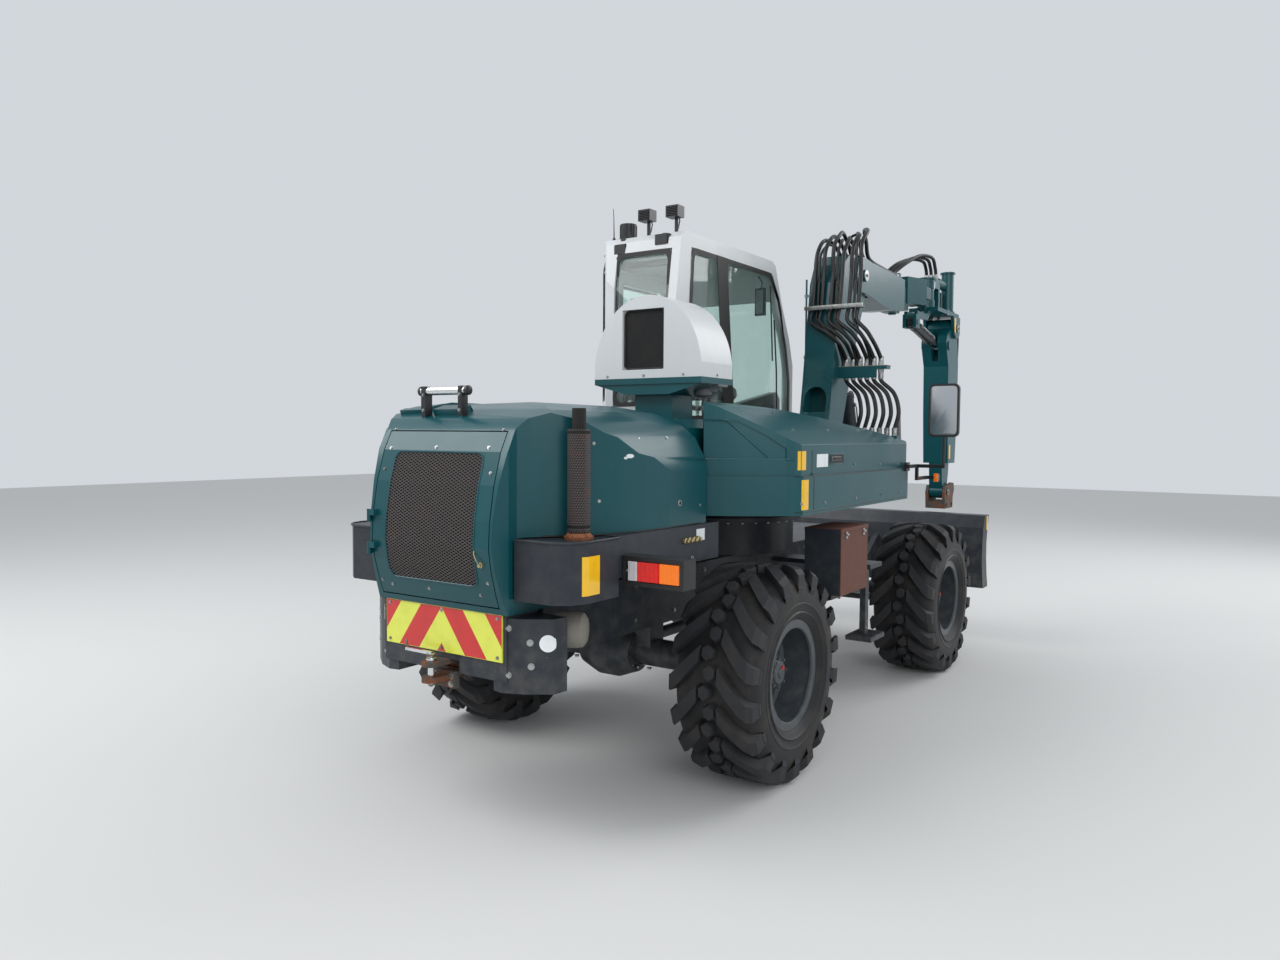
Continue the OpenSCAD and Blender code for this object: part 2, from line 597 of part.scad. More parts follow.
// shallow panel in the round back of the right-hand cover
panel_depth = 8;
module side_panel() {
    difference() {
        rear([[-690, 1742], [-690, 1960], [-860, 1950], [-985, 1875], [-1090, 1790], [-1110, 1742]],
            -600, 60);
        bar_z(slew_x, 0, tail_r - belt_in - panel_depth, 1700, 2000);
    }
}
// rear cover in the middle and on the left, with the post and tray that carry the dome
dome_x = [-50, 330];
dome_y = -228;
dome_half = 372;
dome_z = 2200;
module tail_cover() {
    color(green) at_rear_axle() {
        intersection() {
            for (part = [[0, deck_z + seat_gap, belt_z], [belt_in, belt_z - over, 1960]])
                plan(concat(arc([slew_x, 0], tail_r - part[0], 137, 203, 20), [[300, -cover_in + 10],
                    [300, 430], [880, 850], [950, 1060], [900, 1110 - part[0]], [120, 1120 - part[0]]]),
                    part[1], part[2]);
            rear([[-cover_in + 10, turret_z], [-cover_in + 10, 1900], [-560, 1960], [300, 1960],
                [900, 1860], [1080, 1780], [1120, 1700], [1120, turret_z]], -600, 2200);
        }
        block([30, dome_y - 130, 1959], [250, dome_y + 130, 2110]);
        plan([[dome_x[0], dome_y - dome_half], [dome_x[1] - 10, dome_y - dome_half],
            [dome_x[1] - 10, dome_y + dome_half], [dome_x[0], dome_y + dome_half]], 2165, dome_z - seat_gap);
        rear([[dome_y - dome_half, 2166], [dome_y - 150, 2105], [dome_y + 150, 2105],
            [dome_y + dome_half, 2166]], dome_x[0] + 10, dome_x[1] - 40);
    }
}
module fan_dome() {
    color(white) at_rear_axle() difference() {
        rear([for (i = [0 : 32]) [dome_y + dome_half * cos(180 * i / 32),
            dome_z + (i == 0 || i == 32 ? 0 : 40) + 440 * sin(180 * i / 32)]], dome_x[0], dome_x[1] - 20);
        block([dome_x[0] - over, dome_y + 170 - 290, dome_z + 50],
            [dome_x[0] + 25, dome_y + 170 , dome_z + 400]);
    }
}

// cab: plan, side view; t is the inset of the inner space
cab_floor = deck_z + seat_gap;
cab_right = -170;
cab_left = 790;
function cab_plan(t) = [[320 + t, cab_right + t], [385 + t, 380 - t / 2], [900 + t / 3, cab_left - t],
    [1800, cab_left - t], [2060 - t, 620 - t / 2], [2125 - t, 400],
    [2140 - t, 200], [2120 - t, 0], [2070 - t, cab_right + t]];
module cab_form(t) {
    intersection() {
        plan(cab_plan(t), cab_floor + (t > 30 ? t : 0), cab_top + 10);
        side([[330 + t, 1490 + (t > 30 ? t : 0)], [330 + t, 2500], [420 + t, cab_top - 40 - t],
            [470 + t, cab_top - t], [1700 - t, cab_top - t], [1750 - t, cab_top - 30 - t], [1860 - t, 2860],
            [2000 - t, 2600], [2090 - t, 2350], [2125 - t, 2150], [2125 - t, 1850],
                [2040 - t, 1490 + (t > 30 ? t : 0)]], -400, 900);
    }
}
door_x = [1010, 1720];
door_z = [1560, 3060];
cab_hinge = [1004, 804];
module door_hinges(z0, z1, x0, x1) {
    for (z = [1700, 2780]) {
        bar_z(cab_hinge[0], cab_hinge[1], 13, z + z0, z + z1);
        block([cab_hinge[0] + x0, cab_left - over, z + z0], [cab_hinge[0] + x1, cab_left + 8, z + z1]);
    }
}
module door_hole(g) { block([door_x[0] - g, cab_left - cab_t - 2, door_z[0] - g],
    [door_x[1] + g, 1000, door_z[1] + g]); }
module door_window(g) { side([[door_x[0] + 70 + g, 2050 + g], [door_x[0] + 70 + g, 2980 - g],
    [door_x[1] - 60 - g, 2980 - g], [door_x[1] - 60 - g, 1700 + g], [door_x[1] - 200 + g, 1700 + g]],
    700, 900); }
module cab_windows(g) {
    // right side
    side([[470 + g, 1960 + g], [545 + g, 3060 - g], [1690 - g, 3060 - g], [1800 - g, 2830 - g],
        [1940 - g, 2560 - g], [2010 - g, 2300 - g], [2010 - g, 2000 + g]],
        cab_right - 50, cab_right + cab_t + 30);
    // rear
    rear([[-110 + g, 2050 + g], [-110 + g, 3040 - g], [310 - g, 3040 - g], [320 - g, 2050 + g]], 200, 600);
    // front
    rear([[-100 + g, 1720 + g], [-100 + g, 3050 - g], [640 - g, 3050 - g], [640 - g, 1720 + g]], 1800, 2300);
    // left, behind and before the door
    side([[520 + g, 2100 + g], [560 + g, 3040 - g], [850 - g, 3040 - g], [850 - g, 2100 + g]], 430, 900);
    side([[1790 + g, 1800 + g], [1790 + g, 2840 - 3 * g], [1890 - g, 2680 - g], [1990 - g, 2400 - g],
        [2010 - g, 1800 + g]], 560, 900);
}
module cab_shell() {
    color(white) at_rear_axle() difference() {
        cab_form(0);
        cab_form(cab_t);
        cab_windows(0);
        door_hole(move_gap);
    }
    color(white) at_rear_axle() door_hinges(0, 29.7, -44, 0);
}
module cab_glass() {
    color([0.5, 0.7, 0.65, 0.4]) at_rear_axle() difference() {
        intersection() {
            difference() { cab_form(12); cab_form(20); }
            cab_windows(seat_gap);
        }
        door_hole(move_gap + 2);
    }
}
module cab_door() {
    color(white) at_rear_axle() difference() {
        intersection() { difference() { cab_form(0); cab_form(cab_t); } door_hole(0); }
        door_window(0);
    }
    color(white) at_rear_axle() {
        door_hinges(30, 60, 0, 56);
        // handle
        block([door_x[1] - 45, cab_left - over, 1950], [door_x[1] - 20, cab_left + 30, 2110]);
    }
}
module door_glass() {
    color([0.5, 0.7, 0.65, 0.4]) at_rear_axle() intersection() {
        difference() { cab_form(12); cab_form(20); }
        door_window(seat_gap);
    }
}
module seat() {
    color(black) at_rear_axle() {
        block([900, 130, cab_floor + cab_t + seat_gap], [1250, 480, 1880]);
        block([840, 60, 1879], [1340, 550, 1990]);
        side([[840, 1989], [700, 2650], [800, 2680], [960, 1989]], 80, 530);
        block([900, 20, 2120], [1300, 58, 2180]);
        block([900, 552, 2120], [1300, 590, 2180]);
        for (y = [20, 548]) block([840, y, 1900], [930, y + 42, 2121]);
    }
}
module controls() {
    color(black) at_rear_axle() {
        side([[1640, cab_floor + cab_t + seat_gap], [1600, 2120], [1680, 2160],
            [1800, cab_floor + cab_t + seat_gap]], 240, 370);
        translate([1640, 305, 2140]) rotate([0, -atan(0.5),
            0]) difference() { cylinder(r = 200, h = 28); translate([0, 0, -over]) cylinder(r = 172,
            h = 32); }
        translate([1640, 305, 2140]) rotate([0, -atan(0.5),
            0]) translate([-12, -180, -over]) cube([24, 360, 22]);
        side([[1100, cab_floor + cab_t + seat_gap], [1100, 2060], [1900, 2200], [1960, 2150],
            [1960, cab_floor + cab_t + seat_gap]], cab_right + cab_t + seat_gap, cab_right + cab_t + 60);
    }
}
mirror_x = 2000;
mirror_z = [1868, 2238];
mirror_y = [-1462, -1252];
mirror_corner = 35;
// the mirrors stand on arms, and each arm's root has a marker lamp on a bar in front of it
module mirrors() {
    color(black) at_rear_axle() for (s = [-1, 1]) mirror([0, s > 0 ? 1 : 0, 0]) {
        block([mirror_x - 15, mirror_y[0] + mirror_corner, mirror_z[0]],
            [mirror_x + 15, mirror_y[1] - mirror_corner, mirror_z[1]]);
        block([mirror_x - 15, mirror_y[0], mirror_z[0] + mirror_corner], [mirror_x + 15, mirror_y[1],
            mirror_z[1] - mirror_corner]);
        for (y = [mirror_y[0] + mirror_corner, mirror_y[1] - mirror_corner],
            z = [mirror_z[0] + mirror_corner, mirror_z[1] - mirror_corner])
            translate([mirror_x - 15, y, z]) rotate([0, 90, 0]) cylinder(r = mirror_corner, h = 30);
        block([mirror_x - 12, -1185, 1560], [mirror_x + 12, -1165, 1651]);
        block([mirror_x + 11, -1185, 1560], [2250, -1165, 1584]);
        block([2236, -1240, 1560], [2250, -1165, 1584]);
        bar_y(2243, 1572, 28, -1260, -1239);
        bar_z(mirror_x, -1360, 11, 1650, mirror_z[0] + over);
        block([mirror_x - 12, -1372, 1650], [mirror_x + 12, -1165, 1674]);
        block([1800, -1186, 1650], [mirror_x + 12, -1165, 1674]);
    }
    color(black) at_rear_axle() {
        block([1800, -1166, 1630], [1870, -turret_half, 1690]);
        block([1800, 900, deck_z], [1870, 1000, 1690]);
        block([1800, 999, 1640], [1870, 1166, 1690]);
    }
}
// work lamps on stalks, beacon, head lamps
module roof_lamps() {
    color(black) at_rear_axle() {
        for (y = [-90, 120]) {
            bar_z(490, y, 12, cab_top, cab_top + 90);
            block([430, y - 45, cab_top + 89], [510, y + 45, cab_top + 160]);
        }
        bar_z(560, 330, 55, cab_top, cab_top + 110);
        // head lamps under the deck's front edge, one beside the cab and one beside the boom
        for (lamp = [[2120, 520], [2640, -490]]) {
            block([lamp[0] + seat_gap, lamp[1] - 70, turret_z - 18],
                [lamp[0] + 60, lamp[1] + 70, deck_z - 5]);
            translate([lamp[0] + 59, lamp[1], turret_z + 20]) rotate([0, 90, 0]) cylinder(r = 34, h = 12);
        }
    }
}

// arch in the back of the first boom's foot, grown by g
module arch(g, x0, x1) {
    block([x0, -boom_y - 85 - g, 2040 - g], [x1, -boom_y + 85 + g, 2140]);
    translate([x0, -boom_y, 2140]) rotate([0, 90, 0]) cylinder(r = 85 + g, h = x1 - x0);
}
hose_r = 14;
hose_count = 6;
clamp_x = 1816;
clamp_z = 2800;
clamp_y = [-815, -390];
bracket_x = [1900, 1980];
bracket_z = [2350, 2372];
fitting_h = 20;
gland_hose_x = 1860;
bracket_hose_x = 1940;
top_hose_z = 3214;
function bracket_hose_y(i) = -660 - 52 * i;
function back_hose_y(i) = -430 - 70 * i;
function top_hose_y(i) = -400 - 40 * i;
function gland_hose_y(i) = -780 - 55 * i;
module boom_one() {
    color(green) at_rear_axle() difference() {
        union() {
            // plate round the arch
            intersection() {
                union() {
                    block([1600, -boom_y - boom_w / 2 + 4, 1950], [1900, -boom_y + boom_w / 2 - 4, 2200]);
                    translate([1600, -boom_y, 2200]) rotate([0, 90, 0]) cylinder(r = boom_w / 2 - 4, h = 300);
                }
                side([[1708, 1950], [1738, 2056], [1783, 2330], [1820, 2330], [1800, 1950]],
                    -boom_y - boom_w, -boom_y + boom_w);
            }
            // bar that clamps the hoses, with its plate and ends
            block([1860, clamp_y[0], clamp_z - 15], [1873, clamp_y[1], clamp_z + 15]);
            bar_y(clamp_x, clamp_z, 9, clamp_y[0], clamp_y[1]);
            for (y = clamp_y) block([clamp_x - 9, y > -600 ? y - 12 : y, clamp_z - 12],
                [1873, y > -600 ? y : y + 12, clamp_z + 12]);
            // bracket that the hoses pass through, with a fitting on each side
            block([bracket_x[0], -975, bracket_z[0]], [bracket_x[1],
                -boom_y - boom_w / 2 + over, bracket_z[1]]);
            block([bracket_x[0], -900, bracket_z[0] - 60],
                [bracket_x[0] + 12, -boom_y - boom_w / 2 + over, bracket_z[0] + over]);
            for (i = [0 : hose_count - 1]) bar_z(bracket_hose_x, bracket_hose_y(i),
                18, bracket_z[0] - fitting_h, bracket_z[1] + fitting_h);
            side([[1700, 1760], [1705, 1900], [1750, 2060], [1830, 2600], [1890, 2990], [1960, 3130],
                [2080, 3215], [2310, 3215], [2420, 3150], [2435, 3040],
                [2390, 2900], [2290, 2700], [2150, 2380], [2040, 2080], [1905, 1740]],
                    -boom_y - boom_w / 2, -boom_y + boom_w / 2);
            bar_y(boom_one_pin[0], boom_one_pin[1], 105, -boom_y - boom_w / 2, -boom_y + boom_w / 2);
            for (s = [-1, 1]) {
                side([[2080, 2400], [2150, 2480], [2240, 2475], [2290, 2430], [2285, 2385], [2230, 2365],
                    [2090, 2290]], -boom_y + (s > 0 ? 34 : -62), -boom_y + (s > 0 ? 62 : -34));
            }
        }
        bar_y(boom_one_pin[0], boom_one_pin[1], 40 + fit, -boom_y - 200, -boom_y + 200);
        bar_y(boom_two_pin[0], boom_two_pin[1], 45 + fit, -boom_y - 200, -boom_y + 200);
        arch(0, 1600, 1880);
    }
}
pivot_a = [3360, -boom_y];
pivot_b = [3850, -dipper_y];
fork_y = boom_w / 2 + seat_gap;
top_block_x = [3186, 3226];
module boom_two() {
    color(green) at_rear_axle() {
        difference() {
            side([[2310, 3230], [2450, 3215], [3250, 3190], [3250, 2935], [3150, 2925], [2900, 2900],
                [2620, 2930], [2470, 2950], [2380, 2960], [2250, 2960], [2180, 3010], [2165, 3090],
                [2190, 3180], [2240, 3220]],
                -boom_y - fork_y - 30, -boom_y + fork_y + 30);
            side([[2000, 2800], [2000, 3400], [2470, 3400], [2490, 3250], [2490, 2990], [2470, 2800]],
                -boom_y - fork_y, -boom_y + fork_y);
        }
        bar_y(boom_two_pin[0], boom_two_pin[1], 45, -boom_y - fork_y - 46, -boom_y + fork_y + 46);
        block([top_block_x[0], top_hose_y(hose_count - 1) - 20, 3180], [top_block_x[1],
            top_hose_y(0) + 20, 3242]);
        for (z = [3162, 2932]) {
            block([3249, -boom_y - 62, z], [pivot_a[0], -boom_y + 62, z + 28]);
            bar_z(pivot_a[0], pivot_a[1], 62, z, z + 28);
        }
        bar_z(pivot_a[0], pivot_a[1], 32, 2920, 3200);
        for (z = [-50, 26]) block([offset_c[0][0] - 40, -boom_y + fork_y + 29, offset_c[2] + z],
            [offset_c[0][0] + 40, offset_c[0][1] + 35, offset_c[2] + z + 24]);
        bar_z(offset_c[0][0], offset_c[0][1], pin_r, offset_c[2] - 54, offset_c[2] + 54);
    }
}
link_a = [2962, 3160];
link_b = [3090, 3190];
module offset_link() {
    color(green) at_rear_axle() difference() {
        union() {
            bar_z(pivot_a[0], pivot_a[1], 58, link_a[0], link_a[1]);
            bar_z(pivot_b[0], pivot_b[1], 68, link_b[0], link_b[1]);
            plan([pivot_a + [0, 50], pivot_a + [150, 10], pivot_a + [130, -100], pivot_a + [-20, -50]],
                link_a[0], link_a[1]);
            plan([pivot_a + [120, 40], pivot_b + [-110, 90], pivot_b + [-140, -50], pivot_a + [100, -100]],
                3026, 3255);
            plan([pivot_b + [-130, 70], pivot_b + [0, 60], pivot_b + [-20, -60], pivot_b + [-150, -40]],
                link_b[0], link_b[1]);
        }
        bar_z(pivot_a[0], pivot_a[1], 32 + fit, 2800, 3300);
        bar_z(pivot_b[0], pivot_b[1], 32 + fit, 2800, 3300);
    }
}
head_low = 2985;
head_top = 3285;
head_plate_x = 3970;
post = [4300, -dipper_y - 60, 3395];
module dipper_head() {
    color(green) at_rear_axle() {
        block([3780, -dipper_y - 130, head_low], [4450, -dipper_y + 130, head_low + 35]);
        bar_z(pivot_b[0], pivot_b[1], 75, head_low, link_b[0] - seat_gap);
        bar_z(pivot_b[0], pivot_b[1], 75, link_b[1] + seat_gap, head_top);
        bar_z(pivot_b[0], pivot_b[1], 32, head_low, head_top);
        block([head_plate_x, -dipper_y - 75, head_low + 34], [head_plate_x + 40, -dipper_y + 75, head_top]);
        block([pivot_b[0], -dipper_y - 75, link_b[1] + 8], [head_plate_x + 40, -dipper_y + 75, head_top]);
        // second upright barrel, its flanges, and the motor lying between the two
        bar_z(post[0], post[1], 55, head_low + 34, post[2]);
        for (z = [head_low + 34, post[2] - 14]) bar_z(post[0], post[1], 68, z, z + 14);
        bar_z(pivot_b[0], pivot_b[1], 86, head_top - 14, head_top);
        translate([head_plate_x + 39, -dipper_y - 30, 3272]) rotate([0, 90, 0])
            cylinder(r = 46, h = post[0] - head_plate_x - 69);
        // fork round the offset cylinder's rod
        block([4105, -dipper_y - 25, head_low + 34], [4225, -dipper_y + 15, offset_c[2] + 54]);
        for (z = [-54, 30]) block([4105, -dipper_y + 14, offset_c[2] + z],
            [4225, offset_c[1][1] + 42, offset_c[2] + z + 24]);
        // cheeks and pin of the dipper
        for (s = [-1, 1]) {
            side([[4230, head_low + over], [4270, 2830], [4320, 2790], [4400, 2790], [4440, 2830],
                [4448, head_low + over]], -dipper_y + (s > 0 ? lug_gap : -lug_gap - 28),
                -dipper_y + (s > 0 ? lug_gap + 28 : -lug_gap));
            side([[3400, 2805], [3400, 2920], [3436, 2920], [3436, 2950], [3690, 2950], [3785, 3010],
                [3830, 3010], [3830, head_low - over], [3720, 2896], [3506, 2896], [3500, 2805]],
                -dipper_y + (s > 0 ? 31 : -59), -dipper_y + (s > 0 ? 59 : -31));
        }
        bar_y(dipper_pin[0], dipper_pin[1], 35, -dipper_y - lug_gap - 36, -dipper_y + lug_gap + 36);
        bar_y(dipper_c[0][0], dipper_c[0][1], pin_r, -dipper_y - 64, -dipper_y + 64);
    }
}
// hoses run down the front on both sides of the coupler's cylinder
dipper_hose_y = [-dipper_y - 88, -dipper_y + 88];
module dipper() {
    px = dipper_pin[0];
    pz = dipper_pin[1];
    color(green) at_rear_axle() difference() {
        union() {
            bar_y(px, pz, 92, -dipper_y - boom_w / 2, -dipper_y + boom_w / 2);
            side([[px - 90, pz], [px - 225, pz - 80], [px - 250, pz - 150], [px - 225, pz - 220],
                [px - 165, pz - 360], [px - 150, pz - 800], [px - 100, pz - 1440], [px - 80, pz - 1500],
                [px + 60, pz - 1500], [px + 100, pz - 1350], [px + 150, pz - 800], [px + 155, pz - 320],
                    [px + 90, pz - 40]], -dipper_y - boom_w / 2, -dipper_y + boom_w / 2);
            bar_y(coupler_pin[0], coupler_pin[1], 60, -dipper_y - 60, -dipper_y + 60);
            for (s = [-1, 1]) {
                y0 = -dipper_y + (s > 0 ? 31 : -59);
                side([[px + 140, 2395], [coupler_c[0][0] - 10, 2444], [coupler_c[0][0] + 38, 2456],
                    [coupler_c[0][0] + 38, 2520], [px + 140, 2580]], y0, y0 + 28);
                // outer bosses of the rod's pin
                bar_y(dipper_c[1][0], dipper_c[1][1],
                    42, -dipper_y + (s > 0 ? boom_w / 2 - over : -boom_w / 2 - 12),
                    -dipper_y + (s > 0 ? boom_w / 2 + 12 : -boom_w / 2 + over));
            }
            bar_y(coupler_c[0][0], coupler_c[0][1], pin_r, -dipper_y - 64, -dipper_y + 64);
            for (y = dipper_hose_y) block([px + 130, y - 18, 2255], [px + 190, y + 18, 2290]);
        }
        bar_y(px, pz, 35 + fit, -dipper_y - 200, -dipper_y + 200);
        bar_y(coupler_pin[0], coupler_pin[1], 30 + fit, -dipper_y - 200, -dipper_y + 200);
        // slot for the rod's end
        side([[px - 300, pz - 260], [px - 300, pz - 30], [px - 130, pz - 30], [px - 95, pz - 120],
            [px - 100, pz - 200], [px - 130, pz - 310], [px - 200, pz - 310]],
            -dipper_y - 31, -dipper_y + 31);
        // the coupler's cheeks turn beside the narrow foot
        for (s = [-1, 1]) block([px - 200, s > 0 ? -dipper_y + 60 : -dipper_y - 130, 1200],
            [px + 300, s > 0 ? -dipper_y + 130 : -dipper_y - 60, 1620]);
    }
}
module coupler() {
    cx = coupler_pin[0];
    cz = coupler_pin[1];
    color(rust) at_rear_axle() difference() {
        union() {
            for (s = [-1, 1]) side([[cx - 60, cz - 150], [cx - 75, cz], [cx - 45, cz + 60],
                [cx + 40, cz + 62], [cx + 140, cz + 85], [cx + 210, cz + 80], [cx + 232, cz + 20],
                [cx + 190, cz - 60], [cx + 190, cz - 150]],
                -dipper_y + (s > 0 ? 66 : -92), -dipper_y + (s > 0 ? 92 : -66));
            block([cx - 60, -dipper_y - 92, cz - 155], [cx + 190, -dipper_y + 92, cz - 85]);
            bar_y(cx, cz, 30, -dipper_y - 100, -dipper_y + 100);
        }
        for (x = [cx - 20, cx + 150]) bar_y(x, cz - 122, 20, -dipper_y - 200, -dipper_y + 200);
    }
}
// the offset cylinder lies flat: base eye and rod eye in plan
offset_c = [[3200, -220], [4160, -500], 3150, 45, 24, 600, 600];
module offset_place() { at_rear_axle() translate([offset_c[0][0], offset_c[0][1],
    offset_c[2]]) rotate([0, 0, atan2(offset_c[1][1] - offset_c[0][1],
    offset_c[1][0] - offset_c[0][0])]) rotate([90, 0, 0]) children(); }
module offset_cylinder() { color(steel) offset_place() cyl_barrel(offset_c[3], offset_c[4], offset_c[5],
    40); }
module offset_rod() { color(steel) offset_place() cyl_rod(offset_c[4], dist(offset_c[0], offset_c[1]),
    offset_c[6], 40); }

// a hose along points p, with one ring of eight sides at each point
function unit(v) = v / norm(v);
module hose(p) {
    sides = 8;
    n = len(p);
    polyhedron(points = [for (i = [0 : n - 1])
        let (t = unit(p[min(i + 1, n - 1)] - p[max(i - 1, 0)]), u = unit(cross(t, [0, 1, 0])),
            v = cross(t, u))
        for (k = [0 : sides - 1]) p[i] + hose_r * (u * cos(k * 360 / sides) + v * sin(k * 360 / sides))],
        faces = concat([[for (k = [0 : sides - 1]) k]],
            [[for (k = [sides - 1 : -1 : 0]) (n - 1) * sides + k]],
            [for (i = [0 : n - 2]) for (k = [0 : sides - 1]) let (j = (k + 1) % sides)
                each [[i * sides + k, (i + 1) * sides + k, (i + 1) * sides + j],
                    [i * sides + k, (i + 1) * sides + j, i * sides + j]]]));
}
hose_gap = 0.5;
// each hose leaves its fitting straight, then takes its curve
module turret_hoses() {
    color(black) at_rear_axle() for (i = [0 : hose_count - 1]) let (a = gland_hose_y(i),
        b = bracket_hose_y(i))
        hose([[gland_hose_x, a, gland[2] + hose_gap], [gland_hose_x, a, 1920], [1864, a - 26, 2040],
            [1892, (a + b) / 2 - 50, 2170], [1936, b - 12, 2258],
            [bracket_hose_x, b, 2296], [bracket_hose_x, b, bracket_z[0] - fitting_h - hose_gap]]);
}
module boom_hoses() {
    color(black) at_rear_axle() for (i = [0 : hose_count - 1]) let (b = bracket_hose_y(i), c = back_hose_y(i))
        hose([[bracket_hose_x, b, bracket_z[1] + fitting_h + hose_gap], [bracket_hose_x, b, 2420],
            [1884, min(b + 10, -652), 2488],
            [1800, min(b + 15, -645), 2545], [1794, b * 0.6 + c * 0.4, 2612], [1821, c, 2700],
                [1842.5, c, clamp_z], [1855, c, 2880], [1872, c, 2990]]);
}
module fold_hoses() {
    color(black) at_rear_axle() for (i = [0 : hose_count - 1]) let (c = back_hose_y(i), d = top_hose_y(i),
        lift = 22 * (i % 3))
        hose([[1872, c, 2990 + hose_gap], [1880, c, 3050], [1908 - lift / 2, c, 3200 + lift],
            [2000, c, 3310 + lift], [2170, (c + d) / 2, 3352 + lift],
            [2330, (c + 3 * d) / 4, 3322 + lift / 2], [2520, d, 3254], [2850, d, 3226],
                [3150, d, top_hose_z], [top_block_x[0] - hose_gap, d, top_hose_z]]);
}
module head_hoses() {
    color(black) at_rear_axle() for (i = [0 : 2]) let (d = top_hose_y(i + 1), e = -dipper_y + 42 - 42 * i)
        hose([[top_block_x[1] + hose_gap, d, top_hose_z + 8], [3262, d, top_hose_z + 8], [3350, d, 3278],
            [3490, (2 * d + e) / 3, 3375],
            [3690, (d + 2 * e) / 3, 3440 + 12 * i], [3860, e, 3445 + 12 * i], [3960, e, 3398],
                [head_plate_x + 20, e, 3330], [head_plate_x + 20, e, head_top + hose_gap]]);
}
module dipper_hoses() {
    color(black) at_rear_axle() for (y = dipper_hose_y)
        hose([[4450 + hose_gap, y, 3002], [4478, y, 3002], [4530, y, 2972], [4562, y, 2880],
            [4558, y, 2680], [4534, y, 2480], [4533, y, 2330], [4533, y, 2290 + hose_gap]]);
}

frame();
engine();
bumper();
chevron_board();
hitch();
rear_lamps();
rear_boxes();
exhaust_stack();
side_boxes();
axles();
hood();
rear_door();
rear_grille();
knuckle(0);  // knuckle_rl
knuckle(1);  // knuckle_rr
knuckle(2);  // knuckle_fl
knuckle(3);  // knuckle_fr
rim(0);  // rim_rl
rim(1);  // rim_rr
rim(2);  // rim_fl
rim(3);  // rim_fr
tyre(0);  // tyre_rl
tyre(1);  // tyre_rr
tyre(2);  // tyre_fl
tyre(3);  // tyre_fr
blade();
blade_cylinder();
blade_rod();
turret_deck();
side_cover();
tail_cover();
cab_shell();
cab_glass();
seat();
controls();
fan_dome();
mirrors();
roof_lamps();
cab_door();
door_glass();
boom_one();
boom_two();
offset_link();
dipper_head();
dipper();
coupler();
lift_cylinder();
lift_rod();
offset_cylinder();
offset_rod();
dipper_cylinder();
dipper_rod();
coupler_cylinder();
coupler_rod();
hitch_pin();
turret_hoses();
boom_hoses();
fold_hoses();
head_hoses();
dipper_hoses();
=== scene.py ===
"""Looks for a wheeled slewing tool carrier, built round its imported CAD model.

Lengths are in metres. at() gives a place from the rear axle: x forward, y to the machine's left, z up.
The right-hand side is the one that faces the camera.
"""
import json
import math

import bmesh
import bpy
from mathutils import Matrix, Vector


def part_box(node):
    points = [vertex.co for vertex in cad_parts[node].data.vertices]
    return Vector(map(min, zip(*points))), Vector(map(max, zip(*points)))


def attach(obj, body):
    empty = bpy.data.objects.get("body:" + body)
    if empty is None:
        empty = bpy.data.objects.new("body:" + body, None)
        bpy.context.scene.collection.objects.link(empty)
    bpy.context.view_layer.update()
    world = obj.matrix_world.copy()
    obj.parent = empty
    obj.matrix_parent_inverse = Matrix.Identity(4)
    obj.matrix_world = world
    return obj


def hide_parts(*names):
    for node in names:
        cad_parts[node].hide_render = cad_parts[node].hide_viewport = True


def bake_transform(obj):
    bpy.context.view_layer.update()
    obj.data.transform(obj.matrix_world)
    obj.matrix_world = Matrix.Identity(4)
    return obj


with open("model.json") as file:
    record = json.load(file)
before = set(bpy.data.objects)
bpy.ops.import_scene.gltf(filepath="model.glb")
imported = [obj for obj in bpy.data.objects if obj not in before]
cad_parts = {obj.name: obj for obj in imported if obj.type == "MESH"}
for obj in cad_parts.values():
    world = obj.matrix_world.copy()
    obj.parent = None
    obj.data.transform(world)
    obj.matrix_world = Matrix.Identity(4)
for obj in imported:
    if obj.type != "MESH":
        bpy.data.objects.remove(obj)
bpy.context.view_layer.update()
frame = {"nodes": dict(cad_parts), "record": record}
nodes = frame["nodes"]
SLOTS = {part["node"]: part["material_slot"] for part in frame["record"]["subparts"]}

# The wheels give the places of everything else: both axles, and the ground under the tyres
tyre_low, tyre_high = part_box("tyre_rl")
REAR_AXLE = (tyre_low.x + tyre_high.x) / 2
TYRE_R = (tyre_high.z - tyre_low.z) / 2
TYRE_W = tyre_high.y - tyre_low.y
WHEEL_Y = (tyre_low.y + tyre_high.y) / 2
front_low, front_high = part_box("tyre_fl")
WHEELBASE = (front_low.x + front_high.x) / 2 - REAR_AXLE


def at(x, y, z):
    """A place given from the rear axle, the middle plane and the ground."""
    return Vector((x + REAR_AXLE, y, z))


# Camera at the photograph's viewing angle: behind the machine, to its right, at a standing eye's height
CAMERA_PLACE = at(-4.5415, -3.2383, 1.8765)
CAMERA_HEADING = 0.5962
CAMERA_PITCH = -0.05
CAMERA_ROLL = 0.0069
camera = bpy.data.objects.new("camera", bpy.data.cameras.new("camera"))
bpy.context.scene.collection.objects.link(camera)
camera.data.lens = 26.04
camera.data.sensor_width = 36
camera.data.clip_end = 200
camera.location = CAMERA_PLACE
camera.rotation_euler = (Matrix.Rotation(CAMERA_HEADING - math.pi / 2, 4, "Z")
                         @ Matrix.Rotation(math.pi / 2 + CAMERA_PITCH, 4, "X")
                         @ Matrix.Rotation(CAMERA_ROLL, 4, "Z")).to_euler()
bpy.context.scene.camera = camera


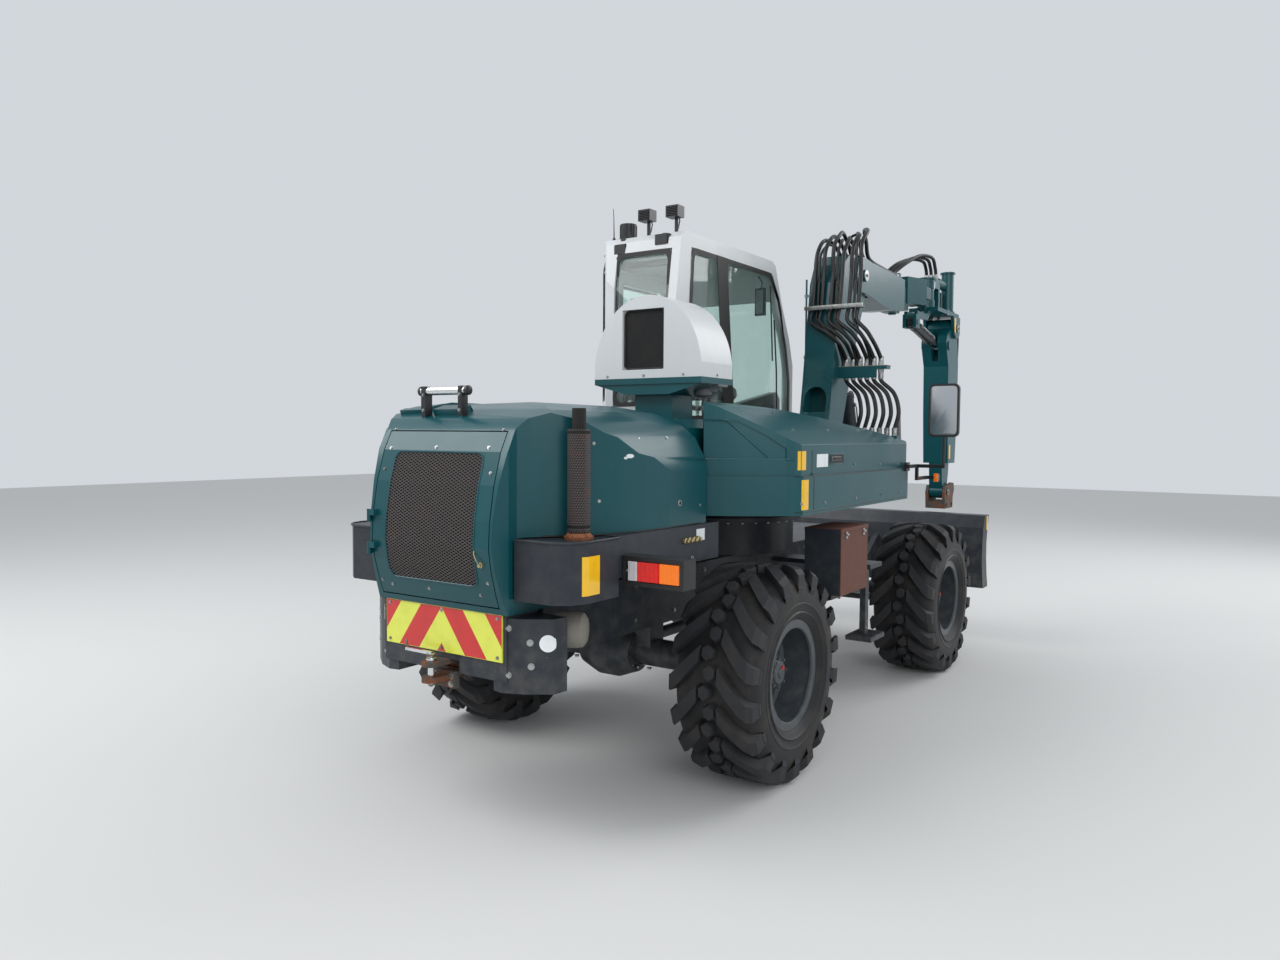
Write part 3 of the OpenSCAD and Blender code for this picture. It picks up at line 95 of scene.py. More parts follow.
# Chassis, engine, bumper, axles and knuckles: welded plate and cast steel under thick anthracite paint.
# The paint is dull, dusty low down and rubbed at places. Shader maths comes first: a socket that can be
# added to, multiplied and compared, and the material that it belongs to.
class Value:
    """One output of a shader node."""

    def __init__(self, tree, socket):
        self.tree = tree
        self.socket = socket

    def math(self, operation, other, before=False):
        inputs = {0: other, 1: self} if before else {0: self, 1: other}
        return self.tree.add("Math", inputs, operation=operation)

    def __add__(self, other):
        return self.math("ADD", other)

    def __sub__(self, other):
        return self.math("SUBTRACT", other)

    def __rsub__(self, other):
        return self.math("SUBTRACT", other, before=True)

    def __mul__(self, other):
        return self.math("MULTIPLY", other)

    __radd__ = __add__
    __rmul__ = __mul__

    def ramp(self, low, high):
        """0 below low, 1 above high, smooth between them."""
        return self.tree.add("MapRange", {0: self, 1: low, 2: high, 3: 0.0, 4: 1.0},
                             interpolation_type="SMOOTHSTEP", clamp=True)

    def between(self, low, high):
        """Spreads 0 to 1 over low to high."""
        return self * (high - low) + low


class Tree:
    """A material and the nodes it is made of."""

    def __init__(self, name):
        self.material = bpy.data.materials.new(name)
        self.material.use_nodes = True
        self.nodes = self.material.node_tree.nodes
        self.links = self.material.node_tree.links
        self.nodes.clear()
        self.place = self.add("TexCoord", {}, output="Object")

    def add(self, kind, inputs, output=0, **settings):
        """Any node: its settings first, then the values or links of its sockets."""
        node = self.nodes.new("ShaderNode" + kind)
        for name, value in settings.items():
            setattr(node, name, value)
        for key, value in inputs.items():
            if isinstance(value, Value):
                self.links.new(value.socket, node.inputs[key])
            else:
                node.inputs[key].default_value = value
        return Value(self, node.outputs[output])

    def stretched(self, x, y, z):
        """The place with each axis scaled, for streaks and grain."""
        return self.add("VectorMath", {0: self.place, 1: (x, y, z)}, operation="MULTIPLY")

    def noise(self, scale, detail=3.0, roughness=0.55, place=None):
        return self.add("TexNoise", {"Vector": place or self.place, "Scale": scale, "Detail": detail,
                                     "Roughness": roughness})

    def cells(self, scale, place=None, feature="F1"):
        return self.add("TexVoronoi", {"Vector": place or self.place, "Scale": scale}, feature=feature)

    def mix(self, factor, low, high):
        """From the colour low to the colour high."""
        colours = [value if isinstance(value, Value) else (*value[:3], 1.0) for value in (low, high)]
        return self.add("Mix", {0: factor, 6: colours[0], 7: colours[1]}, 2, data_type="RGBA")

    def bump(self, height, strength, distance):
        return self.add("Bump", {"Height": height, "Strength": strength, "Distance": distance})

    def finish(self, colour, roughness, normal=None, **constants):
        """Ends the material in one surface shader. Plain numbers go on its own sockets."""
        base = colour if isinstance(colour, Value) else (*colour, 1.0)
        inputs = {"Base Color": base, "Roughness": roughness}
        if normal is not None:
            inputs["Normal"] = normal
        inputs.update({name.replace("_", " "): value for name, value in constants.items()})
        shader = self.add("BsdfPrincipled", inputs)
        self.links.new(shader.socket, self.nodes.new("ShaderNodeOutputMaterial").inputs[0])
        return self.material


DUST = (0.30, 0.27, 0.22)
MUD = (0.10, 0.085, 0.065)
# dust thins out from the ground up to this height
DUST_TOP = 1.35


def paint(name, colour, worn, roughness, coat, dust, chips):
    """Machine paint: slow change of tone, rain streaks, dust low down, fine scratches and chips."""
    t = Tree(name)
    fine = t.noise(13.0, 4.0, 0.55)
    height = t.add("SeparateXYZ", {0: t.place}, 2)
    low = (DUST_TOP - height).ramp(0.0, 1.25)
    tone = t.mix(t.noise(1.3, 4.0).ramp(0.38, 0.72) * 0.40, colour, worn)
    streak = t.noise(3.0, 4.0, 0.6, t.stretched(9.0, 9.0, 0.8)).ramp(0.46, 0.78)
    streaked = t.mix(streak * 0.14, tone, worn)
    veil = (low * 0.6 + 0.10) * fine.ramp(0.30, 0.85) * dust
    dusty = t.mix(veil, streaked, DUST)
    line = 1 - t.cells(11.0, t.stretched(1.0, 1.0, 7.0), "DISTANCE_TO_EDGE").ramp(0.0, 0.005)
    scratch = line * t.noise(2.1, 2.0).ramp(0.62, 0.70) * (chips * 0.4)
    chip = t.noise(95.0, 2.0).ramp(0.735, 0.75) * t.noise(4.0, 2.0).ramp(0.5, 0.62) * chips
    marked = t.mix(scratch.math("MAXIMUM", chip), dusty, DUST)
    normal = t.bump(t.noise(2.6, 2.0), 0.08, 0.02)
    return t.finish(marked, t.noise(5.0).between(roughness - 0.05, roughness + 0.08) + veil * 0.30, normal,
                    Coat_Weight=coat, Coat_Roughness=0.14, Specular_IOR_Level=0.32)


def rusty(name, base, share, rust=(0.11, 0.035, 0.014), light=(0.28, 0.10, 0.035)):
    """Paint or scale that rust has broken through."""
    t = Tree(name)
    speck = t.noise(130.0, 4.0, 0.7)
    spread = t.noise(16.0, 6.0, 0.7).ramp(0.66 - share * 0.4, 0.78 - share * 0.35)
    tone = t.mix(spread, base, t.mix(speck.ramp(0.35, 0.7), rust, light))
    return t.finish(tone, speck.between(0.60, 0.84), t.bump(speck, 0.5, 0.0012), Specular_IOR_Level=0.35)


anthracite = paint("anthracite_paint", (0.020, 0.025, 0.033), (0.045, 0.055, 0.065), 0.46, 0.10, 0.50, 0.6)
black_paint = paint("black_paint", (0.010, 0.011, 0.013), (0.03, 0.032, 0.036), 0.38, 0.2, 0.35, 0.5)
rusty_iron = rusty("rusty_iron", (0.075, 0.068, 0.062), 0.5)


def dress(material, *names):
    """Gives CAD nodes their material."""
    for name in names:
        nodes[name].data.materials.clear()
        nodes[name].data.materials.append(material)


dress(anthracite, *[name for name, slot in SLOTS.items() if slot == "anthracite"])
dress(black_paint, *[name for name, slot in SLOTS.items() if slot in ("black", "dark_paint")])
dress(rusty_iron, "engine", "hitch", "coupler")


# Bolts hold the axle housings, the bumper's cheeks, the slew ring and nearly everything after them: zinc
# plated, six-sided, each on a washer. One recipe of Geometry Nodes sets them where a point cloud says,
# and is the pattern of the later recipes.
class Recipe:
    """A Geometry Nodes tree with named sizes, run on a mesh to give a plain one."""

    def __init__(self, name, **sizes):
        self.tree = bpy.data.node_groups.new(name, "GeometryNodeTree")
        for label, kind in (("Start", "Geometry"), *sizes.items(), ("Material", "Material")):
            self.tree.interface.new_socket(label, in_out="INPUT", socket_type="NodeSocket" + kind)
        self.tree.interface.new_socket("Result", in_out="OUTPUT", socket_type="NodeSocketGeometry")
        self.given = self.tree.nodes.new("NodeGroupInput").outputs

    def add(self, kind, inputs, **settings):
        node = self.tree.nodes.new(kind)
        for name, value in settings.items():
            setattr(node, name, value)
        for key, value in inputs.items():
            for one in value if isinstance(value, list) else [value]:
                if isinstance(one, bpy.types.NodeSocket):
                    self.tree.links.new(one, node.inputs[key])
                else:
                    node.inputs[key].default_value = one
        return node.outputs[0]

    def end(self, geometry):
        real = self.add("GeometryNodeRealizeInstances", {0: geometry})
        coloured = self.add("GeometryNodeSetMaterial", {"Geometry": real, "Material": self.given["Material"]})
        self.tree.links.new(coloured, self.tree.nodes.new("NodeGroupOutput").inputs[0])

    def grow(self, mesh, **sizes):
        """Runs the tree on a mesh, and gives the mesh that comes out."""
        thing = bpy.data.objects.new("growing", mesh)
        bpy.context.scene.collection.objects.link(thing)
        modifier = thing.modifiers.new("recipe", "NODES")
        modifier.node_group = self.tree
        for item in self.tree.interface.items_tree:
            if item.name in sizes:
                modifier[item.identifier] = sizes[item.name]
        grown = thing.evaluated_get(bpy.context.evaluated_depsgraph_get())
        made = bpy.data.meshes.new_from_object(grown)
        bpy.data.objects.remove(thing)
        return made


def piece(name, mesh, body, replaces=(), angle=None):
    """A mesh as an object that rides on a body. angle rounds the shading of flatter edges."""
    if angle:
        mesh.shade_smooth()
        mesh.set_sharp_from_angle(angle=math.radians(angle))
    thing = bpy.data.objects.new(name, mesh)
    bpy.context.scene.collection.objects.link(thing)
    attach(thing, body)
    if replaces:
        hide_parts(*replaces)
    return thing


def bare_metal(name, colour, dirt, roughness, share):
    """Metal with a ground grain and dirt in patches."""
    t = Tree(name)
    patches = t.noise(9.0, 5.0, 0.65).ramp(0.62 - share * 0.35, 0.80 - share * 0.25)
    grit = t.noise(160.0, 3.0, 0.6)
    tone = t.mix(patches * (share * 1.6), colour, dirt)
    return t.finish(tone, grit.between(roughness - 0.08, roughness + 0.14) + patches * 0.15,
                    t.bump(grit, 0.25, 0.0006), Metallic=1.0)


zinc = bare_metal("zinc_plate", (0.42, 0.43, 0.43), MUD, 0.36, 0.45)
bolt_recipe = Recipe("bolts")
washer = bolt_recipe.add("GeometryNodeMeshCylinder", {"Vertices": 16, "Radius": 1.45, "Depth": 0.3})
head = bolt_recipe.add("GeometryNodeMeshCylinder", {"Vertices": 6, "Radius": 1.0, "Depth": 0.8})
raised = bolt_recipe.add("GeometryNodeTransform", {"Geometry": head, "Translation": (0, 0, 0.5)})
one_bolt = bolt_recipe.add("GeometryNodeJoinGeometry", {0: [washer, raised]})
way = bolt_recipe.add("GeometryNodeInputNamedAttribute", {"Name": "way"}, data_type="FLOAT_VECTOR")
size = bolt_recipe.add("GeometryNodeInputNamedAttribute", {"Name": "size"}, data_type="FLOAT")
turned = bolt_recipe.add("FunctionNodeAlignRotationToVector", {"Vector": way}, axis="Z")
bolt_recipe.end(bolt_recipe.add("GeometryNodeInstanceOnPoints", {
    "Points": bolt_recipe.given["Start"], "Instance": one_bolt, "Rotation": turned, "Scale": size}))


def bolt_mesh(places, material=zinc):
    """Bolts at (place, way, radius)."""
    mesh = bpy.data.meshes.new("bolt_places")
    mesh.from_pydata([place for place, _, _ in places], [], [])
    mesh.attributes.new("way", "FLOAT_VECTOR", "POINT").data.foreach_set(
        "vector", [c for _, way, _ in places for c in Vector(way).normalized()])
    mesh.attributes.new("size", "FLOAT", "POINT").data.foreach_set("value", [r for _, _, r in places])
    return bolt_recipe.grow(mesh, Material=material)


def around(centre, axis, radius, count, start=0.0):
    """Points of a circle about an axis."""
    axis = Vector(axis).normalized()
    out = axis.orthogonal().normalized()
    return [Vector(centre) + Matrix.Rotation(start + 2 * math.pi * k / count, 3, axis) @ out * radius
            for k in range(count)]


def touch(node, x, y, z, stand=0.0):
    """The point of a CAD node nearest to a place, raised by stand, and the way its face looks."""
    _, place, normal, _ = nodes[node].closest_point_on_mesh(at(x, y, z))
    return place + normal * stand, normal


AXLE_Z = TYRE_R
DIFFERENTIAL_FACE = 0.178
SLEW_X = 1.25
SLEW_FOOT = 1.296
# bolts of each spring pad under an axle, and of each of the bumper's cheeks
PAD_BOLTS = ((-0.055, 0.19), (0.055, 0.19), (-0.055, 0.27), (0.055, 0.27))
CHEEK_BOLTS = ((-1.385, 0.501, 0.927), (-1.382, 0.505, 0.818), (-1.430, 0.41, 0.775), (-1.430, 0.41, 0.99))
chassis_bolts = []
for axle in (0.0, WHEELBASE):
    for hand in (-1, 1):
        circle = around(at(axle - 0.03, hand * DIFFERENTIAL_FACE, AXLE_Z), (0, 1, 0), 0.100, 10)
        chassis_bolts += [(p, (0, hand, 0), 0.008) for p in circle]
    for hand in (-1, 1):
        chassis_bolts += [(at(axle + x, hand * y, AXLE_Z - 0.082), (0, 0, -1), 0.011) for x, y in PAD_BOLTS]
for hand in (-1, 1):
    chassis_bolts += [(*touch("bumper", x, hand * y, z), 0.011) for x, y, z in CHEEK_BOLTS]
    # along the frame's sides, on the rear boxes and on the steps' posts
    for x in (-0.30, 0.10, 0.45, 1.95, 2.35, 2.75):
        for z in (0.83, 1.03):
            chassis_bolts.append((at(x, hand * 0.34, z), (0, hand, 0), 0.010))
    for x in (-0.80, -0.60, -0.40):
        chassis_bolts.append((at(x, hand * 0.76, 1.23), (0, hand, 0), 0.008))
    for x, z in ((1.52, 0.95), (1.52, 0.56), (1.54, 0.60)):
        chassis_bolts.append((at(x, hand * 1.0, z), (0, hand, 0), 0.007))
slew_circle = around(at(SLEW_X, 0, SLEW_FOOT), (0, 0, 1), 0.545, 36)
chassis_bolts += [(p, (0, 0, -1), 0.010) for p in slew_circle]
piece("chassis_bolts", bolt_mesh(chassis_bolts), "chassis")


# Slew ring: a cast ring with teeth inside, bolted through its flange onto the chassis tower. Only the
# flange and its bolts show from outside, between the chassis and the turret.
class Shape:
    """Collects solids into one mesh. Each takes the number of its material in the list given to done()."""

    def __init__(self):
        self.bm = bmesh.new()

    def bridge(self, rings, material=0, caps=True):
        """Joins rings of points, one after another, into a skin."""
        count = len(rings[0])
        corners = [[self.bm.verts.new(p) for p in ring] for ring in rings]
        skin = []
        for ring, after in zip(corners, corners[1:]):
            for i in range(count):
                j = (i + 1) % count
                skin.append((ring[i], ring[j], after[j], after[i]))
        if caps:
            skin += [corners[0][::-1], corners[-1]]
        for face in skin:
            self.bm.faces.new(face).material_index = material

    def prism(self, outline, along, low, high, material=0, bevel=0.0):
        """An outline drawn out along an axis. Its two numbers are the other two axes, in X, Y, Z order."""
        place = {"X": lambda a, b, c: Vector((c, a, b)), "Y": lambda a, b, c: Vector((a, c, b)),
                 "Z": lambda a, b, c: Vector((a, b, c))}[along]
        start = len(self.bm.edges)
        self.bridge([[place(a, b, c) for a, b in outline] for c in (low, high)], material)
        if bevel:
            self.bm.edges.ensure_lookup_table()
            bmesh.ops.bevel(self.bm, geom=self.bm.edges[start:], offset=bevel, segments=2, profile=0.5,
                            affect="EDGES", clamp_overlap=True, material=-1)

    def box(self, low, high, material=0, bevel=0.0):
        outline = [(low[0], low[1]), (high[0], low[1]), (high[0], high[1]), (low[0], high[1])]
        self.prism(outline, "Z", low[2], high[2], material, bevel)

    def tube(self, points, radius, material=0, sides=12):
        """A round bar along points. radius is a number or one number a point."""
        points = [Vector(p) for p in points]
        radii = radius if isinstance(radius, (list, tuple)) else [radius] * len(points)
        last = len(points) - 1
        ahead = [(points[min(i + 1, last)] - points[max(i - 1, 0)]).normalized() for i in range(last + 1)]
        across = ahead[0].orthogonal().normalized()
        rings = []
        for point, forward, r in zip(points, ahead, radii):
            across = (across - forward * across.dot(forward)).normalized()
            up = forward.cross(across)
            rings.append([point + (across * math.cos(a) + up * math.sin(a)) * r
                          for a in (2 * math.pi * i / sides for i in range(sides))])
        self.bridge(rings, material)

    def stack(self, base, forward, steps, material=0, sides=24):
        """A turned piece on an axis: steps of (distance, radius) from base."""
        base, forward = Vector(base), Vector(forward).normalized()
        across = forward.orthogonal().normalized()
        up = forward.cross(across)
        self.bridge([[base + forward * d + (across * math.cos(a) + up * math.sin(a)) * max(r, 1e-4)
                      for a in (2 * math.pi * i / sides for i in range(sides))] for d, r in steps], material)

    def lathe(self, profile, centre, steps, axis="Y", material=0):
        """Turns a closed profile of (radius, along) about an axis through centre."""
        rings = []
        for k in range(steps):
            c, s = math.cos(2 * math.pi * k / steps), math.sin(2 * math.pi * k / steps)
            turn = {"Y": lambda r, d: (c * r, d, s * r), "Z": lambda r, d: (c * r, s * r, d)}[axis]
            rings.append([Vector(centre) + Vector(turn(r, d)) for r, d in profile])
        self.bridge(rings + rings[:1], material, caps=False)

    def take(self, mesh, material=0):
        """Adds a grown mesh."""
        start = len(self.bm.faces)
        self.bm.from_mesh(mesh)
        self.bm.faces.ensure_lookup_table()
        for face in self.bm.faces[start:]:
            face.material_index = material

    def mesh(self, name):
        """The collected solids as one mesh, with their faces outward."""
        bmesh.ops.remove_doubles(self.bm, verts=self.bm.verts, dist=1e-6)
        bmesh.ops.recalc_face_normals(self.bm, faces=self.bm.faces)
        mesh = bpy.data.meshes.new(name)
        self.bm.to_mesh(mesh)
        self.bm.free()
        return mesh

    def done(self, name, materials, body, replaces=(), angle=35.0):
        """Turns the collected solids into an object that rides on a body."""
        mesh = self.mesh(name)
        for material in materials:
            mesh.materials.append(material)
        return piece(name, mesh, body, replaces, angle)


SLEW_TOP = 1.326
ring = Shape()
flange = [(0.521, SLEW_FOOT), (0.575, SLEW_FOOT), (0.575, SLEW_TOP), (0.521, SLEW_TOP)]
ring.lathe(flange, at(SLEW_X, 0, 0), 72, "Z")
ring.done("slew_flange", [anthracite], "chassis")


# Wheels: broad tractor tyres on deep-dished steel rims. Each tyre has shoulder lugs on both sides, those
# of one side half a pitch behind the other's, and blocks between them; they stand on the lugs' flats.
def rubber(name, colour, dust, roughness=0.62, grit_size=0.0008):
    """Rubber with dust that stays in its low places."""
    t = Tree(name)
    cloud = t.noise(6.0, 4.0, 0.6)
    grit = t.noise(220.0, 3.0)
    tone = t.mix(cloud.ramp(0.42, 0.75) * dust, colour, MUD)
    spots = t.mix(grit.ramp(0.62, 0.8) * (dust * 0.5), tone, DUST)
    return t.finish(spots, cloud.between(roughness - 0.12, roughness + 0.14), t.bump(grit, 0.30, grit_size),
                    Specular_IOR_Level=0.4)


# one rubber in two tones: the lugs lighter, as painted light on their lit tops and some dust, the carcass
# darker, as painted shade in the gaps between them
carcass_rubber_painted_shade = rubber("carcass_rubber_painted_shade", (0.007, 0.007, 0.008), 0.22, 0.5)
lug_rubber_painted_light = rubber("lug_rubber_painted_light", (0.019, 0.020, 0.023), 0.20, 0.66)
LUGS = 18
CROWN = TYRE_R - 0.042
HALF_W = TYRE_W / 2
# radius and y of half the section, from the bead out to the crown
CARCASS = ((0.2845, 0.193), (0.299, 0.194), (0.300, 0.208), (0.312, 0.219), (0.330, 0.228), (0.338, 0.236),
           (0.346, 0.229), (0.380, 0.237), (0.384, 0.2405), (0.390, 0.2405), (0.394, 0.238), (0.420, 0.239),
           (0.460, 0.234), (0.495, 0.224), (CROWN - 0.018, 0.205), (CROWN - 0.004, 0.170), (CROWN, 0.09),
           (CROWN, 0.0))
# one lug from the middle out: y, lag along the tread, top radius, root radius, half width
LUG = ((0.056, 0.010, TYRE_R, CROWN - 0.005, 0.042),
       (0.110, 0.072, TYRE_R, CROWN - 0.005, 0.044),
       (0.172, 0.140, TYRE_R - 0.003, CROWN - 0.010, 0.046),
       (0.214, 0.180, TYRE_R - 0.012, CROWN - 0.030, 0.045),
       (HALF_W - 0.005, 0.190, TYRE_R - 0.038, CROWN - 0.060, 0.042),
       (HALF_W - 0.001, 0.196, 0.495, 0.475, 0.034),
       (HALF_W - 0.010, 0.200, 0.452, 0.442, 0.024))
LUG_FOOT = 0.006
# a block's outline: along the tread, across it
BLOCK = ((0.041, 0.002), (0.021, 0.032), (-0.022, 0.034), (-0.041, 0.004), (-0.022, -0.030), (0.020, -0.029))
# its sections from the root up: radius, and size against that outline
BLOCK_SECTIONS = ((CROWN - 0.004, 1.06), (TYRE_R - 0.003, 0.98), (TYRE_R, 0.92))

ring_recipe = Recipe("ring", Count="Int", Turn="Vector")
index = ring_recipe.add("GeometryNodeInputIndex", {})
spin = ring_recipe.add("ShaderNodeVectorMath", {0: ring_recipe.given["Turn"], "Scale": index},
                       operation="SCALE")
spots = ring_recipe.add("GeometryNodePoints", {"Count": ring_recipe.given["Count"]})
ring_recipe.end(ring_recipe.add("GeometryNodeInstanceOnPoints", {
    "Points": spots, "Instance": ring_recipe.given["Start"], "Rotation": spin}))


def ringed(shape, count, material):
    """Repeats a shape about the Y axis through the origin."""
    return ring_recipe.grow(shape.mesh("one_of_ring"), Count=count, Turn=(0, 2 * math.pi / count, 0),
                            Material=material)


def on_wheel(angle, y, radius):
    return Vector((math.cos(angle) * radius, y, math.sin(angle) * radius))


def tyre(name, x, side):
    lug = Shape()
    for hand in (-1, 1):
        # the outer side's lugs start half a pitch on; the pair's block joins each lug's inner end
        start = math.pi / LUGS if hand > 0 else 0.0
        rings = []
        for y, lag, top, root, half in LUG:
            flat = top / math.cos(half / TYRE_R) if top == TYRE_R else top
            corners = ((-half - LUG_FOOT, root), (-half, flat), (half, flat), (half + LUG_FOOT, root))
            rings.append([on_wheel(start + (lag + s) / TYRE_R, side * hand * y, r) for s, r in corners])
        lug.bridge(rings)
        rings = []
        for radius, grow in BLOCK_SECTIONS:
            rings.append([on_wheel(start + 0.004 + s * grow / TYRE_R, side * hand * 0.012 + y * grow, radius)
                          for s, y in BLOCK])
        lug.bridge(rings)
    shape = Shape()
    shape.lathe([(r, -y) for r, y in CARCASS] + [(r, y) for r, y in reversed(CARCASS[:-1])], (0, 0, 0), 110)
    shape.take(ringed(lug, LUGS, lug_rubber_painted_light), 1)
    shape.bm.transform(Matrix.Translation(at(x, side * WHEEL_Y, TYRE_R)))
    shape.done("tread_" + name, [carcass_rubber_painted_shade, lug_rubber_painted_light], "wheel_" + name, ["tyre_" + name], 32)


# Rims are one welded piece with the disc; ten nuts hold each to its hub. The hub cap is bolted on, and
# carries a red drain plug. A lock ring lies round the flange, and the valve comes through the dish.
red_film = paint("red_paint", (0.45, 0.012, 0.010), (0.55, 0.05, 0.04), 0.40, 0.2, 0.2, 0.3)
rim_paint = paint("rim_paint", (0.036, 0.046, 0.056), (0.07, 0.078, 0.085), 0.36, 0.20, 0.30, 0.6)
dress(rim_paint, "rim_rl", "rim_rr", "rim_fl", "rim_fr")
NUT_COUNT, NUT_CIRCLE = 10, 0.165
CAP_BOLT_COUNT, CAP_BOLT_CIRCLE = 8, 0.083
STUD_END = ((0.0, 0.010), (0.018, 0.010), (0.021, 0.007))
HUB_CAP = ((0.0, 0.066), (0.006, 0.066), (0.012, 0.060), (0.014, 0.030), (0.020, 0.026), (0.022, 0.0))
DRAIN_PLUG = ((0.0, 0.014), (0.009, 0.013), (0.012, 0.006))
# radius and distance out of the lock ring and of the disc's weld; distance out and height of the valve
LOCK_RING = ((0.2595, 0.188), (0.2595, 0.201), (0.262, 0.2075), (0.2585, 0.2075), (0.252, 0.203),
             (0.249, 0.192))
DISC_WELD = ((0.2575, 0.010), (0.2575, 0.030), (0.240, 0.0135), (0.225, 0.0125))
VALVE = ((0.014, 0.235), (0.09, 0.243), (0.150, 0.251))


def rim_details(name, x, side):
    out = (0, side, 0)
    nut = Shape()
    nut.take(bolt_mesh([(on_wheel(0, side * 0.013, NUT_CIRCLE), out, 0.017)]))
    nut.stack(on_wheel(0, side * 0.026, NUT_CIRCLE), out, STUD_END, 0, 10)
    cap_bolt = Shape()
    cap_bolt.take(bolt_mesh([(on_wheel(0, side * 0.121, CAP_BOLT_CIRCLE), out, 0.0075)]))
    shape = Shape()
    shape.take(ringed(nut, NUT_COUNT, rim_paint))
    shape.take(ringed(cap_bolt, CAP_BOLT_COUNT, rim_paint))
    shape.stack((0, side * 0.118, 0), out, HUB_CAP, 0, 32)
    shape.stack((0.020, side * 0.131, 0.024), out, DRAIN_PLUG, 1, 6)
    for profile, steps in ((LOCK_RING, 96), (DISC_WELD, 72)):
        shape.lathe([(r, side * y) for r, y in profile], (0, 0, 0), steps)
    shape.tube([(0.0, side * y, z) for y, z in VALVE], 0.004, 2, 8)
    shape.bm.transform(Matrix.Translation(at(x, side * WHEEL_Y, TYRE_R)))
    shape.done("hub_" + name, [rim_paint, red_film, zinc], "wheel_" + name)


for name, x, side in (("rl", 0.0, 1), ("rr", 0.0, -1), ("fl", WHEELBASE, 1), ("fr", WHEELBASE, -1)):
    tyre(name, x, side)
    rim_details(name, x, side)


# Steering: a hydraulic ram behind each axle pushes tie rods to both knuckles. It is bolted to the axle by
# two feet, and ball joints end its rods. It is guessed from such axles.
chrome = bare_metal("chromed_rod", (0.72, 0.73, 0.75), MUD, 0.14, 0.12)
RAM_BACK = 0.135
for name, axle, back in (("rear", 0.0, 1), ("front", WHEELBASE, -1)):
    shape = Shape()
    x = axle + back * RAM_BACK
    shape.tube([at(x, -0.20, AXLE_Z), at(x, 0.20, AXLE_Z)], 0.038, 0, 20)
    for hand in (-1, 1):
        shape.tube([at(x, hand * 0.20, AXLE_Z), at(x, hand * 0.33, AXLE_Z)], 0.018, 1, 14)
        shape.stack(at(x, hand * 0.185, AXLE_Z), (0, hand, 0), [(0, 0.044), (0.03, 0.044), (0.034, 0.030)], 0)
        foot = at(x, hand * 0.13, AXLE_Z)
        shape.box(foot - Vector((0.02, 0.02, 0.075)), foot + Vector((0.02, 0.02, 0)), 0, 0.003)
        shape.tube([at(x, hand * 0.33, AXLE_Z), at(x - back * 0.004, hand * 0.36, AXLE_Z),
                    at(x - back * 0.02, hand * 0.56, AXLE_Z - 0.01)], [0.026, 0.014, 0.014], 2, 12)
    shape.done("steering_" + name, [anthracite, chrome, zinc], "chassis")


# Rear warning board: a sheet of steel bolted to the bumper, with red and yellow chevrons of film. The
# slopes and edges of the stripes are those of the photograph, mirrored about the middle.
def film(name, colour, rib=0.25, glow=0.0):
    """Retroreflective film, or a lens with moulded ribs."""
    t = Tree(name)
    ribs = t.add("TexWave", {"Vector": t.place, "Scale": 55.0}, 1, bands_direction="Y")
    tone = t.mix(t.noise(14.0, 3.0).ramp(0.4, 0.8) * 0.25, colour, tuple(c * 0.55 for c in colour))
    return t.finish(tone, t.noise(9.0).between(0.12, 0.30), t.bump(ribs, 0.30 * rib, 0.001), Coat_Weight=0.5,
                    Emission_Strength=glow, Emission_Color=(*colour, 1.0))


warning_yellow = film("yellow_film", (0.72, 0.76, 0.08))
warning_red = film("red_film", (0.58, 0.012, 0.010))
BOARD_LOW, BOARD_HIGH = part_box("chevron_board")
CHEVRON_SLOPE = 0.72
CHEVRON_EDGES = (-0.30, -0.125, 0.0, 0.14, 0.28, 0.60)
FILM_LIFT = 0.0008
dress(warning_yellow, "chevron_board")
shape = Shape()
top, bottom = BOARD_HIGH.z - 0.002, BOARD_LOW.z + 0.002
half_board = (BOARD_HIGH.y - BOARD_LOW.y) / 2 - 0.002
for row, (a, b) in enumerate(zip(CHEVRON_EDGES, CHEVRON_EDGES[1:])):
    # each stripe is cut off by the board's middle and its edge, so it comes in flat slices
    for hand in (-1, 1):
        slices = []
        for k in range(25):
            z = top + (bottom - top) * k / 24
            shift = (top - z) * CHEVRON_SLOPE
            slices.append((z, min(max(a + shift, 0.0), half_board), min(max(b + shift, 0.0), half_board)))
        for (z0, a0, b0), (z1, a1, b1) in zip(slices, slices[1:]):
            if max(b0 - a0, b1 - a1) > 1e-5:
                stripe = [shape.bm.verts.new((BOARD_LOW.x - FILM_LIFT, hand * y, z))
                          for y, z in ((a0, z0), (b0, z0), (b1, z1), (a1, z1))]
                shape.bm.faces.new(stripe).material_index = 0 if row % 2 else 1
bmesh.ops.remove_doubles(shape.bm, verts=shape.bm.verts, dist=1e-5)
bmesh.ops.dissolve_degenerate(shape.bm, edges=shape.bm.edges, dist=1e-5)
shape.done("chevrons", [warning_yellow, warning_red], "chassis")
piece("board_bolts", bolt_mesh([(Vector((BOARD_LOW.x - 0.001, y, z)), (-1, 0, 0), 0.006)
                                for y in (-0.36, 0.0, 0.36) for z in (0.85, 1.03)]), "chassis")


